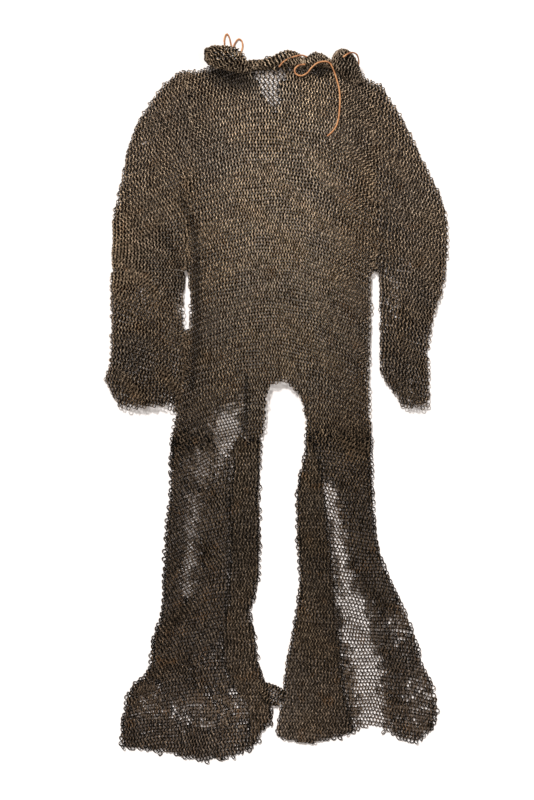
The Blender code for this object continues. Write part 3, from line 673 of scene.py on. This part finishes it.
# The same along lines: their points, then half the width in metres and the share open
THIN_LINES = (
    (((329, 490), (337, 530), (342, 565), (350, 600)), 0.0110, 1.0),
    (((350, 600), (361, 640), (369, 690), (374, 748)), 0.0230, 1.3),
    (((194, 500), (191, 540), (188, 590)), 0.0120, 0.85),
)

# Spots of painted shadow under the left roll and of painted shade in the neck's opening: px, py, half
# sizes, share
DARK_SPOTS = (
    (232, 80, 20, 9, 0.55), (217, 74, 14, 7, 0.5), (318, 71, 18, 6, 0.75), (300, 61, 6, 5, 0.9),
)

# Edges of the tails' inner strips, which are folded over
FOLD_EDGES = {
    LEFT: (
        (250, 370), (246, 400), (244, 425), (234, 440), (231, 500), (231, 560), (229, 600), (222, 645),
        (226, 668), (238, 692), (250, 712),
    ),
    RIGHT: (
        (312, 440), (320, 465), (326, 520), (331, 560), (334, 600), (338, 640), (342, 690), (350, 720),
        (356, 745),
    ),
}

# Outlines of the dark layer of rings that paints the shade behind the lace, and of the neck's slit,
# where one layer is pulled open, and how far they wander
NECK_SHADE = ((292, 60), (336, 60), (336, 78), (292, 78))
NECK_OPENING = ((250, 71), (290, 70), (281, 84), (280, 100), (274, 112), (268, 104), (258, 88))
OUTLINE_STRAY = 0.0045

# The painted shadow along a folded strip's edge: how dark, how far past the edge, and how wide
FOLD_SHADE = 0.65
FOLD_SHADE_PAST = 0.003
FOLD_SHADE_WIDTH = 0.0055


def tail_side(x, y):
    """Which tail a place belongs to: below the knee the gap between the tails lies further left."""
    return LEFT if x < (CROTCH_X if y > KNEE_Y else HEM_GAP_X) else RIGHT


def past_fold(x, y):
    """How far inside a tail's folded strip a place lies, in metres, and less than zero outside it."""
    px, py = pixel(x, y)
    side = tail_side(x, y)
    edge_px, edge_py = zip(*FOLD_EDGES[side])
    return (np.interp(py, edge_py, edge_px) - px) * side * SCALE


def inside(outline, x, y):
    """Whether a place lies within an outline of pixels, by a line that wanders a little."""
    px, py = pixel(x + OUTLINE_STRAY * EDGE(x, y), y + OUTLINE_STRAY * EDGE(y, x))
    hit = False
    for (x1, y1), (x2, y2) in zip(outline, outline[1:] + outline[:1]):
        if (y1 > py) != (y2 > py) and px < (x2 - x1) * (py - y1) / (y2 - y1) + x1:
            hit = not hit
    return hit


def openness(spots, x, y):
    px, py = pixel(x, y)
    return max(share * math.exp(-(((px - sx) / wide) ** 2 + ((py - sy) / tall) ** 2) ** 1.5)
               for sx, sy, wide, tall, share in spots)


def thin(x, y):
    """How far the tails' mail is spread or worn open at a place."""
    return max(openness(THIN_TAILS, x, y), crease(x, y, THIN_LINES))


def shade(x, y):
    """How much painted shade the rings get at a place: less than 1 in the painted shadow of a fold or a
    lump, and in painted shade along creases and in dark spots.
    """
    share = (1.0 - openness(DARK_SPOTS, x, y)) * (1.0 - crease(x, y, DARK_LINES))
    if y < HIP_Y - 0.05:
        beside = past_fold(x, y)
        share *= 1.0 - FOLD_SHADE * math.exp(-((beside + FOLD_SHADE_PAST) / FOLD_SHADE_WIDTH) ** 2)
    return share


# Rings, gathered for each piece before its mesh is made: a row each of centre, axis, way to the first
# point, outward way, radius, wire, worn side, and cleanness with painted shade

PIECES = {}

# How much the rings differ: their place in the row and over it, their lean, tilt and size
PLACE_STRAY = 0.00028
RISE_STRAY = 0.00035
LEAN_STRAY = 0.09
TILT_STRAY = 0.08
SIZE_STRAY = 0.03
ROLL_STRAY = 0.0003
ROLL_UNREST = 1.4

# How far from a ring the panel's slope and the row's way are read, and the drop past a panel's edge
SLOPE_REACH = 0.006
ROW_REACH = 0.002
SIDES = ((1, 0), (-1, 0), (0, 1), (0, -1))
PAST_EDGE_DROP = 0.004

# How much thinner the wire is where a tail's mail is open
WORN_SHARE = 0.16

# Rolls: the twist of their rows, their lumps, and how far inside the second layer lies
ROLL_TWIST = 0.3
ROLL_LUMPS = 0.05
ROLL_INSET = 0.0045


def value_at(value, *place):
    """A number, or what a function gives for a place."""
    return value(*place) if callable(value) else value


def add_ring(name, place, normal, along, lean, jitter, radius, wire, face, clean):
    """One ring, leaning along its row. Its worn side faces out (1), in (-1) or both ways (0); its other
    side gets grime and painted shade.
    """
    across = unit(np.cross(normal, along))
    along = np.cross(across, normal)
    lean += LEAN_STRAY * jitter[2]
    axis = math.cos(lean) * normal + math.sin(lean) * along
    axis = unit(axis - TILT_STRAY * jitter[3] * across)
    centre = place + RISE_STRAY * jitter[4] * normal
    lowest = radius * math.sqrt(max(1.0 - axis[2] ** 2, 0.0)) + RIVET_SWELL * wire
    centre[2] = max(centre[2], lowest)
    first = unit(across - axis * across.dot(axis))
    radius *= 1 + SIZE_STRAY * jitter[5]
    PIECES.setdefault(name, []).append((centre, axis, first, normal, radius, wire, face, clean))


def cover(tree, lay, grid, corners, lean, name_of, seed, keep, lift=0.0, inset=0.0, billow=0.0, flat_z=None,
          radius=RING_RADIUS, wire=WIRE_RADIUS, twist=0.0, calm=0.6, face=1, clean=1.0):
    """Covers the panels of a tree with linked rings, a row at a time."""
    rng = np.random.default_rng(seed)
    pitch, row = grid
    (u_low, v_low), (u_high, v_high) = corners
    depth = radius * math.sin(lean)

    def height(x, y):
        top = top_of(tree, x, y)
        return None if top is None else top + billow * DRAPE(x, y) - (crease(x, y) if billow else 0.0)

    for j in range(int((v_high - v_low) / row)):
        v = v_low + j * row
        for i in range(int((u_high - u_low) / pitch)):
            u = u_low + (i + 0.5 * (j % 2)) * pitch
            x, y = lay(u, v)
            jitter = calm * rng.normal(0, 1, 6)
            x += PLACE_STRAY * jitter[0]
            y += PLACE_STRAY * jitter[1]
            if not keep(x, y, rng):
                continue
            middle = height(x, y)
            if middle is None:
                continue
            if inset and any(top_of(tree, x + dx * inset, y + dy * inset) is None for dx, dy in SIDES):
                continue
            slope_x = slope_y = 0.0
            z = flat_z
            if flat_z is None:
                around = [height(x + dx * SLOPE_REACH, y + dy * SLOPE_REACH) for dx, dy in SIDES]
                east, west, north, south = [middle - PAST_EDGE_DROP if h is None else h for h in around]
                slope_x, slope_y = (east - west) / (2 * SLOPE_REACH), (north - south) / (2 * SLOPE_REACH)
                z = (middle * 2 + east + west + north + south) / 6 - depth + lift
            z = max(z, depth + wire)
            x2, y2 = lay(u + ROW_REACH, v)
            x1, y1 = lay(u - ROW_REACH, v)
            along = unit(np.array([x2 - x1, y2 - y1, slope_x * (x2 - x1) + slope_y * (y2 - y1)]))
            normal = unit(np.array([-slope_x, -slope_y, 1.0]))
            turn = twist * (1 if j % 2 else -1)
            along = math.cos(turn) * along + math.sin(turn) * np.cross(normal, along)
            slim = 1.0 - WORN_SHARE * min(thin(x, y), 1.0) if y < HIP_Y + 0.03 else 1.0
            add_ring(name_of(x, y), np.array([x, y, z]), normal, along, lean if j % 2 else -lean, jitter,
                     radius, wire * slim, value_at(face, x, y), value_at(clean, x, y) * shade(x, y))


def drape(name_of, surface, length, girth, seed, turn=0.0, shift=0, clean=1.0):
    """Covers a curved surface, a function of two shares, with linked rings."""
    rng = np.random.default_rng(seed)
    pitch, row = ROLL_GRID
    reach = int((length + girth) / row) + 2
    cos, sin = math.cos(turn), math.sin(turn)
    small = 0.002
    for j in range(-reach, reach):
        for i in range(-reach, reach):
            u, v = (i + 0.5 * (j % 2)) * pitch, (j + shift) * row
            s, t = (u * cos - v * sin) / length, (u * sin + v * cos) / girth
            if not (0.0 <= s <= 1.0 and 0.0 <= t <= 1.0):
                continue
            place = surface(s, t)
            to_s = (surface(s + small, t) - surface(s - small, t)) / (2 * small) / length
            to_t = (surface(s, t + small) - surface(s, t - small)) / (2 * small) / girth
            normal = unit(np.cross(to_s, to_t))
            sway = turn + (ROLL_TWIST if j % 2 else -ROLL_TWIST)
            along = unit(to_s * math.cos(sway) + to_t * math.sin(sway))
            jitter = ROLL_UNREST * rng.normal(0, 1, 6)
            place = place + ROLL_STRAY * (jitter[0] * unit(to_s) + jitter[1] * unit(to_t))
            add_ring(name_of(place), place, normal, along, BODY_LEAN if j % 2 else -BODY_LEAN, jitter,
                     RING_RADIUS, ROLLED_WIRE_RADIUS, 1, value_at(clean, s))


def table_reader(rows):
    """A smooth function of a share from 0 to 1 through the rows of a table."""
    table = np.array(rows, float)

    def read(share):
        share = min(max(share, 0.0), 1.0)
        index = min(int(share * (len(table) - 1)), len(table) - 2)
        t = share * (len(table) - 1) - index
        a, b = table[max(index - 1, 0)], table[index]
        c, d = table[index + 1], table[min(index + 2, len(table) - 1)]
        return spline_point(a, b, c, d, t)
    return read


def roll(rows, inset=0.0, ends=None):
    """A rolled edge: rows of its middle's pixel, then its height, half breadth and half height in mm."""
    read = table_reader([(*at(px, py), z / 1000, across / 1000, tall / 1000)
                         for px, py, z, across, tall in rows])
    (x1, y1), (x2, y2) = at(*rows[0][:2]), at(*rows[-1][:2])
    first, last = ends or ((x2 - x1, y2 - y1), (x2 - x1, y2 - y1))

    def surface(s, t):
        x, y, z, across, tall = read(s)
        run_x = first[0] + (last[0] - first[0]) * s
        run_y = first[1] + (last[1] - first[1]) * s
        over = math.hypot(run_x, run_y)
        side_x, side_y = run_y / over, -run_x / over
        turn = 2 * math.pi * t
        bulge = 1 + ROLL_LUMPS * (math.sin(3 * turn + 5 * s) + 0.6 * math.sin(5 * turn - 9 * s))
        wide = max(across - inset, 0.001) * bulge
        high = max(tall - inset, 0.001) * bulge
        return np.array([x + side_x * wide * math.cos(turn), y + side_y * wide * math.cos(turn),
                         z + high * math.sin(turn)])
    return surface


def hump(rows, base):
    """A standing fold along the neck: rows of pixel x, front and back pixel y, and height in mm."""
    read = table_reader(rows)

    def surface(s, t):
        px, front, rear, height = read(s)
        share = (1 - math.cos(math.pi * t)) / 2
        x, y = at(px, front + (rear - front) * share)
        return np.array([x, y, base + height / 1000 * math.sin(math.pi * t) ** 0.8 if 0 < t < 1 else base])
    return surface


LEFT_ROLL = (
    (214, 57, 34, 3, 2), (209.5, 57, 34, 5, 4.5), (206.8, 57, 34, 7.8, 7.5), (207.2, 57, 34, 10.8, 10),
    (210, 57, 34, 15, 12.2), (215, 57.5, 34, 19, 13.2), (221, 58.5, 34, 21.5, 13.4),
    (228, 60, 33.5, 21.8, 12.8), (235, 62.5, 31.3, 20, 11.6), (241, 66, 27.5, 15, 9.2),
    (247, 70.5, 22.5, 8, 5.2),
)
# Which way the left roll runs at its two ends
LEFT_ROLL_ENDS = ((1.0, 0.15), (0.85, -0.53))
RIGHT_ROLL = (
    (337, 54, 25, 2, 2), (338, 54.5, 25, 10, 7), (340, 57, 25, 17.2, 10), (343, 61.5, 25, 21.2, 11.5),
    (347, 67, 23.5, 21.2, 11), (351, 73, 21, 17.2, 9), (355, 79, 18.5, 12, 6.5), (359, 84, 16, 7, 4),
)
HEM_ROLL = (
    (261, 688, 7.5, 8, 3), (267, 691, 9.3, 15, 4), (274, 696, 9.3, 18.5, 4.2), (281, 700, 8, 13, 3.4),
)
NECK_EDGE = (
    (243, 71, 63, 7), (252, 70, 60.5, 9), (262, 69, 60, 10), (272, 68, 57, 13), (282, 67, 52, 16),
    (291, 67, 51, 16), (298, 66, 54, 12), (302, 66, 58, 6), (308, 66, 57, 10), (315, 66, 53, 12),
    (322, 66, 54.5, 12), (328, 67, 58.5, 8), (333, 68, 61, 5),
)

# Pixel where the neck's edge is cut into its left and right fold
NECK_SPLIT_PX = (300, 0)


# Which piece a ring belongs to

LOWER_TAIL_HALF = 0.17
BODY_PART = 0.115
LAST_BODY_PART = 5
ARMPIT_OVERLAP = 0.004


def place_name(x, y, layer):
    """The piece that a ring over a place belongs to: a body's own, or one that lies over a joint."""
    if y < HIP_Y + STRIP:
        word = WORDS[tail_side(x, y)]
        if abs(y - HIP_Y) < STRIP:
            return f"hip_{word}"
        if abs(y - KNEE_Y) < STRIP:
            return f"knee_{word}"
        if y > KNEE_Y:
            return f"tail_{word}_{layer}"
        half = 1 if y > KNEE_Y - LOWER_TAIL_HALF else 2
        return f"lower_tail_{word}_{layer}_{half}"
    for side, word in WORDS.items():
        out = (x - SHOULDER_X[side]) * side
        if y > ARMPIT_Y - ARMPIT_OVERLAP and abs(out) < STRIP:
            return f"shoulder_{word}"
    return f"body_{layer}_{min(int((y - HIP_Y) / BODY_PART), LAST_BODY_PART)}"


def sleeve_name(x, y, layer):
    """The same for a sleeve."""
    side = LEFT if x < ROW_MIDDLE_X else RIGHT
    out = (x - SHOULDER_X[side]) * side
    if y > ARMPIT_Y - ARMPIT_OVERLAP and out < STRIP:
        return f"shoulder_{WORDS[side]}"
    if abs(y - ARMPIT_Y) < STRIP:
        return f"elbow_{WORDS[side]}"
    return f"{'sleeve' if y > ARMPIT_Y else 'forearm'}_{WORDS[side]}_{layer}"


def in_layer(name_of, layer):
    return lambda x, y: name_of(x, y, layer)


def neck_name(place):
    return "collar_back_left_rings" if place[0] < at(*NECK_SPLIT_PX)[0] else "collar_back_right_rings"


# Spans of rows on the unrolled mail, each from its lowest left corner to its highest right one

SPAN_X = 0.37
SPAN_TOP = 0.86
BODY_LEAST = -0.20
SLEEVE_LEAST = -0.14
UNDER_OVERLAP = 0.16
TAIL_SPAN = ((-SPAN_X, -0.78), (SPAN_X, 0.02))


def above(grid):
    """The span over the armpits, from four rows under them."""
    return (-SPAN_X, ARMPIT_Y - 4 * grid[1]), (SPAN_X, SPAN_TOP)


def below(grid, least):
    """The span under the armpits, from a row that carries on the rows above them."""
    pairs = math.ceil((ARMPIT_Y - least) / (2 * grid[1]))
    return (-SPAN_X, ARMPIT_Y - 2 * pairs * grid[1]), (SPAN_X, ARMPIT_Y + UNDER_OVERLAP)


def between(span, grid):
    """The same span a row further up: the rings of the layer behind lie between those in front."""
    (left, low), (right, top) = span
    return (left, low + grid[1]), (right, top)


# Where each layer keeps its rings: how far the layers overlap and how their edges wander, in metres

SEAM_OVERLAP = 0.0022
SEAM_SWAY = 0.006
SEAM_SWAY_MOST = 0.009
TAIL_START = 0.034
TAIL_START_SWAY = 0.010
BACK_END = 0.064
FOLD_START = 0.004
BESIDE_FOLD = 0.004
BOTH_FACES_OPEN = 0.3
BOTH_FACES_SWAY = 0.12


def past_shoulder(x, y):
    """How far outside the shoulder lines a place lies, by a line that wanders a little."""
    side = LEFT if x < ROW_MIDDLE_X else RIGHT
    wander = min(max(SEAM_SWAY * SWAY_X(side, 2.0 * y), -SEAM_SWAY_MOST), SEAM_SWAY_MOST)
    return (x - SHOULDER_X[side]) * side + wander


def tail_starts(x):
    """The line under the hips where the body's rows end and the tails' begin."""
    return HIP_Y - TAIL_START + TAIL_START_SWAY * EDGE(x, 0.0)


def keep_high(x, y, rng):
    return y >= ARMPIT_Y and past_shoulder(x, y) < SEAM_OVERLAP and not inside(NECK_OPENING, x, y)


def keep_low(x, y, rng):
    return tail_starts(x) < y < ARMPIT_Y


def keep_low_back(x, y, rng):
    return HIP_Y - BACK_END < y < ARMPIT_Y and rng.random() > max(thin(x, y), openness(THIN_BACK, x, y))


def keep_tail(x, y, rng):
    return y <= tail_starts(x)


def keep_sleeve(x, y, rng):
    return y >= ARMPIT_Y and past_shoulder(x, y) > -SEAM_OVERLAP


def keep_forearm(x, y, rng):
    return y < ARMPIT_Y and beyond_shoulder(x)


def keep_outer(x, y, rng):
    return y <= tail_starts(x) and past_fold(x, y) < -BESIDE_FOLD and rng.random() > thin(x, y)


def keep_fold(x, y, rng):
    return y < tail_starts(x) - FOLD_START and past_fold(x, y) > 0.0


def keep_within(outline):
    return lambda x, y, rng: inside(outline, x, y)


def with_holes(keep):
    return lambda x, y, rng: keep(x, y, rng) and rng.random() > openness(THIN_BACK, x, y)


def tail_face(x, y):
    """The tails' worn side lies under them, and on both sides where they are thin; the other side gets
    grime and painted shade.
    """
    return 0 if thin(x, y) + BOTH_FACES_SWAY * EDGE(x, y) > BOTH_FACES_OPEN else -1


# The layers' rings: how far they follow the panel's waves, their sizes, twist and unrest

TORSO = {"billow": 0.0004, "twist": 0.30}
SLEEVE = {"billow": 0.0011, "twist": 0.30, "radius": SLEEVE_RING_RADIUS, "calm": 0.9}
# On the back's layer the side that faces into the shirt gets grime and painted shade
BEHIND = {"inset": 0.0035, "flat_z": 0.0, "twist": 0.30, "face": -1, "radius": BACK_RING_RADIUS,
          "wire": BACK_WIRE_RADIUS}
SLEEVE_BEHIND = {**BEHIND, "radius": BACK_SLEEVE_RING_RADIUS, "calm": 0.9}
WIDE = {"radius": WIDE_RING_RADIUS, "wire": WIDE_WIRE_RADIUS, "twist": 0.20, "calm": 1.0}

HIGH, LOW = above(BODY_GRID), below(BODY_GRID, BODY_LEAST)
SLEEVE_HIGH, SLEEVE_LOW = above(SLEEVE_GRID), below(SLEEVE_GRID, SLEEVE_LEAST)


def pair(kind):
    return kind + "_left", kind + "_right"


def gather_front(tails):
    """The front, the tails, the back that shows in the neck's opening, and the sleeves' upper layer."""
    high = panel_tree("body_front", *pair("sleeve_front"))
    low = panel_tree("body_front", *pair("tail"), *pair("lower_tail"))
    neck = panel_tree("body_back", *pair("sleeve_back"))
    arms = panel_tree(*pair("sleeve_front"), *pair("forearm_front"))
    front, back = in_layer(place_name, "front"), in_layer(place_name, "back")
    sleeve = in_layer(sleeve_name, "front")
    cover(high, lay_body, BODY_GRID, HIGH, BODY_LEAN, front, 21, keep_high, **TORSO)
    cover(low, lay_body, BODY_GRID, LOW, BODY_LEAN, front, 22, keep_low, **TORSO)
    cover(tails, lay_tail, TAIL_GRID, TAIL_SPAN, 0.50, front, 37, keep_tail, face=tail_face, **WIDE)
    cover(neck, lay_plain, NECK_GRID, above(NECK_GRID), 0.38, back, 41, keep_within(NECK_OPENING),
          flat_z=0.0, radius=WIDE_RING_RADIUS, wire=PULLED_WIRE_RADIUS, clean=0.8, calm=1.0)
    # A dark layer behind the lace: painted shade in the neck's opening
    cover(neck, lay_plain, NECK_SHADE_GRID, above(NECK_SHADE_GRID), 0.60, back, 43, keep_within(NECK_SHADE),
          flat_z=0.0085, radius=BACK_RING_RADIUS, wire=BACK_WIRE_RADIUS, clean=0.45)
    cover(high, lay_sleeve, SLEEVE_GRID, SLEEVE_HIGH, SLEEVE_LEAN, sleeve, 24, keep_sleeve, **SLEEVE)
    cover(arms, lay_sleeve, SLEEVE_GRID, SLEEVE_LOW, SLEEVE_LEAN, sleeve, 25, keep_forearm, **SLEEVE)


def gather_back():
    """The back's layer of the body and the sleeves."""
    high = panel_tree("body_back", *pair("sleeve_back"))
    low = panel_tree("body_back", *pair("tail"))
    arms = panel_tree(*pair("sleeve_back"), *pair("forearm_back"))
    back, sleeve = in_layer(place_name, "back"), in_layer(sleeve_name, "back")
    body_rows, sleeve_rows = laid_behind(lay_body), laid_behind(lay_sleeve)
    cover(high, body_rows, BODY_GRID, between(HIGH, BODY_GRID), BACK_LEAN, back, 26,
          with_holes(keep_high), **BEHIND)
    cover(low, body_rows, BODY_GRID, between(LOW, BODY_GRID), BACK_LEAN, back, 27,
          keep_low_back, **BEHIND)
    cover(high, sleeve_rows, SLEEVE_GRID, between(SLEEVE_HIGH, SLEEVE_GRID), BACK_LEAN, sleeve, 28,
          with_holes(keep_sleeve), **SLEEVE_BEHIND)
    cover(arms, sleeve_rows, SLEEVE_GRID, between(SLEEVE_LOW, SLEEVE_GRID), BACK_LEAN, sleeve, 29,
          with_holes(keep_forearm), **SLEEVE_BEHIND)


def gather_tail_layers(tails):
    """The tails' second layer, and the strips that are folded over on themselves."""
    double, fold = in_layer(place_name, "double"), in_layer(place_name, "fold")
    cover(tails, lay_tail, TAIL_GRID, between(TAIL_SPAN, TAIL_GRID), 0.60, double, 30, keep_outer,
          inset=0.0050, lift=0.0036, **WIDE)
    # The folds' middle layer is darkened: painted shade between the layers
    cover(tails, lay_plain, FOLD_GRID, between(TAIL_SPAN, FOLD_GRID), 0.50, fold, 38, keep_fold,
          inset=0.0040, lift=0.0024, clean=0.45, **WIDE)
    cover(tails, lay_plain, FOLD_GRID, TAIL_SPAN, 0.68, fold, 36, keep_fold,
          inset=0.0040, lift=0.0053, **WIDE)


def gather_rolls():
    """The collar's rolls and the hem's, with a second layer inside the collar's, and the neck's fold."""
    left = {"name_of": lambda place: "collar_left_rings", "length": 0.098, "girth": 0.112, "turn": 0.9}
    right = {"name_of": lambda place: "collar_right_rings", "length": 0.088, "girth": 0.096, "turn": 0.7}
    neck = {"name_of": neck_name, "length": 0.185, "girth": 0.044, "turn": 0.3}
    # The left roll's end and the collar rolls' inner layers are darkened: painted shade in their hollows
    drape(surface=roll(LEFT_ROLL, ends=LEFT_ROLL_ENDS), seed=31,
          clean=lambda s: 0.15 + 0.70 * step(0.20, 0.46, s), **left)
    drape(surface=roll(LEFT_ROLL, ROLL_INSET, LEFT_ROLL_ENDS), seed=32, shift=1, clean=0.25, **left)
    drape(surface=roll(RIGHT_ROLL), seed=33, clean=0.85, **right)
    drape(surface=roll(RIGHT_ROLL, ROLL_INSET), seed=39, shift=1, clean=0.25, **right)
    drape(lambda place: "hem_roll_rings", roll(HEM_ROLL), 0.046, 0.070, 34)
    drape(surface=hump(NECK_EDGE, 0.006), seed=35, clean=0.8, **neck)
    # The neck fold's inner layer is darkened: painted shade
    drape(surface=hump(NECK_EDGE, 0.0025), seed=40, shift=1, clean=0.3, **neck)


def gather_rings():
    """All layers, always in the same order: a piece's rings differ by their place in its list."""
    tails = panel_tree(*pair("tail"), *pair("lower_tail"))
    gather_front(tails)
    gather_back()
    gather_tail_layers(tails)
    gather_rolls()


# Turning the gathered rings into meshes

FRONT_CORNERS = 12
BACK_CORNERS = 10
WIRE_SIDES = 4
UV_MARGIN = 0.04

# Height of a ring's arc, as a share of its half height, at which the change from grime and painted shade to
# wear begins and is full
WEAR_AND_LIGHT_FROM = -0.05
WEAR_AND_LIGHT_FULL = 0.90


def ring_points(rings, around, spin):
    """The rings' points, shaped count, around, wire sides and 3, and how worn and free of grime and painted
    shade each point is.
    """
    centres, normals, first, ups, radii, wires, faces, shades = map(np.array, zip(*rings))
    second = np.cross(normals, first)
    turn = spin[:, None] + np.arange(around) * 2 * np.pi / around
    out = np.cos(turn)[..., None] * first[:, None, :] + np.sin(turn)[..., None] * second[:, None, :]
    swell = 1.0 + (RIVET_SWELL - 1.0) * np.exp(-((np.arange(around) - 1.0) ** 2) / 1.2)
    angle = (np.arange(WIRE_SIDES) + 0.5) * 2 * np.pi / WIRE_SIDES
    wire = wires[:, None, None] * swell[None, :, None]
    reach = radii[:, None, None] + wire * np.cos(angle)[None, None, :]
    rise = wire * np.sin(angle)[None, None, :]
    points = (centres[:, None, None, :] + reach[..., None] * out[:, :, None, :]
              + rise[..., None] * normals[:, None, None, :])
    # The raised arcs are worn bright and the sunk ones are dark with grime and painted shade, where the
    # rings around them would shade them
    tall = np.sqrt(np.clip(1 - (normals * ups).sum(1) ** 2, 0.05, 1)) * radii + wires
    height = ((points - centres[:, None, None, :]) * ups[:, None, None, :]).sum(-1) / tall[:, None, None]
    faces = faces[:, None, None]
    height = np.where(faces == 0, np.abs(height), height * faces)
    share = np.clip((height - WEAR_AND_LIGHT_FROM) / (WEAR_AND_LIGHT_FULL - WEAR_AND_LIGHT_FROM), 0, 1)
    return points, share * share * (3 - 2 * share) * shades[:, None, None]


def ring_mesh(name, rings, around, iron):
    """One piece: a closed ring of wire for each gathered ring, with the riveted swelling on it."""
    count = len(rings)
    spin = np.random.default_rng(count).uniform(0, 2 * np.pi, count)
    points, wear = ring_points(rings, around, spin)
    k, l = np.meshgrid(np.arange(around), np.arange(WIRE_SIDES), indexing="ij")
    k2, l2 = (k + 1) % around, (l + 1) % WIRE_SIDES
    here, ahead = k * WIRE_SIDES, k2 * WIRE_SIDES
    quad = np.stack([here + l, ahead + l, ahead + l2, here + l2], -1)
    starts = np.arange(count) * around * WIRE_SIDES
    corners = (quad.reshape(-1, 4)[None] + starts[:, None, None]).reshape(-1)
    quads = len(corners) // 4
    mesh = bpy.data.meshes.new(name)
    mesh.vertices.add(count * around * WIRE_SIDES)
    mesh.vertices.foreach_set("co", points.astype(np.float32).ravel())
    mesh.loops.add(len(corners))
    mesh.loops.foreach_set("vertex_index", corners.astype(np.int32))
    mesh.polygons.add(quads)
    mesh.polygons.foreach_set("loop_start", np.arange(quads, dtype=np.int32) * 4)
    mesh.polygons.foreach_set("use_smooth", np.ones(quads, dtype=bool))
    mesh.update(calc_edges=True)
    # Wear on the raised arcs, grime and painted shade on the sunk ones
    tone_marks = mesh.attributes.new("wear", "FLOAT", "POINT")
    tone_marks.data.foreach_set("value", wear.astype(np.float32).ravel())
    # Each ring has a cell of its own on the texture's square
    cells = math.ceil(math.sqrt(count))
    square = [np.stack([k + dk, l + dl], -1) for dk, dl in ((0, 0), (1, 0), (1, 1), (0, 1))]
    unwrapped = np.stack(square, 2).reshape(-1, 2) / (around, WIRE_SIDES)
    cell = np.stack([np.arange(count) % cells, np.arange(count) // cells], -1)
    uv = (cell[:, None, :] + UV_MARGIN + (1 - 2 * UV_MARGIN) * unwrapped[None]) / cells
    mesh.uv_layers.new(name="OFBake").data.foreach_set("uv", uv.reshape(-1).astype(np.float32))
    mesh.materials.append(iron)
    item = bpy.data.objects.new(name, mesh)
    bpy.context.scene.collection.objects.link(item)
    return item


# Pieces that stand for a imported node
REPLACED = {
    "body_front_0": "body_front",
    "body_back_0": "body_back",
    "collar_left_rings": "collar_roll_left",
    "collar_right_rings": "collar_roll_right",
    "collar_back_left_rings": "collar_fold_left",
    "collar_back_right_rings": "collar_fold_right",
    "hem_roll_rings": "hem_roll",
}
for word in WORDS.values():
    for layer in ("front", "back"):
        REPLACED[f"sleeve_{word}_{layer}"] = f"sleeve_{layer}_{word}"
        REPLACED[f"forearm_{word}_{layer}"] = f"forearm_{layer}_{word}"
    REPLACED[f"tail_{word}_front"] = f"tail_{word}"
    REPLACED[f"tail_{word}_fold"] = f"tail_fold_{word}"
    REPLACED[f"lower_tail_{word}_front_1"] = f"lower_tail_{word}"
    REPLACED[f"lower_tail_{word}_fold_1"] = f"lower_tail_fold_{word}"


def attach(item):
    """Each piece rides on its body; a piece over a joint gets its place baked into its mesh and rides on
    none.
    """
    name = item.name
    kind, word = name.split("_")[:2]
    if kind == "shoulder":
        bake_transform(item)
    elif kind == "elbow":
        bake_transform(item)
    elif kind == "hip":
        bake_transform(item)
    elif kind == "knee":
        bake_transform(item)
    elif kind == "hem":
        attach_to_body(item, "lower_tail_left")
    elif kind == "lower":
        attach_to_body(item, "lower_tail_" + name.split("_")[2])
    elif kind in ("body", "collar"):
        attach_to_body(item, "body")
    else:
        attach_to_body(item, f"{kind}_{word}")


def main():
    make_camera()
    make_stage()
    make_light()
    make_laces(leather_material())
    iron = iron_material()
    gather_rings()
    for name, rings in sorted(PIECES.items()):
        lies_behind = "back" in name and "collar" not in name
        item = ring_mesh(name, rings, BACK_CORNERS if lies_behind else FRONT_CORNERS, iron)
        attach(item)
        if name in REPLACED:
            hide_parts(REPLACED[name])
    bpy.context.scene.view_settings.view_transform = "Standard"


main()
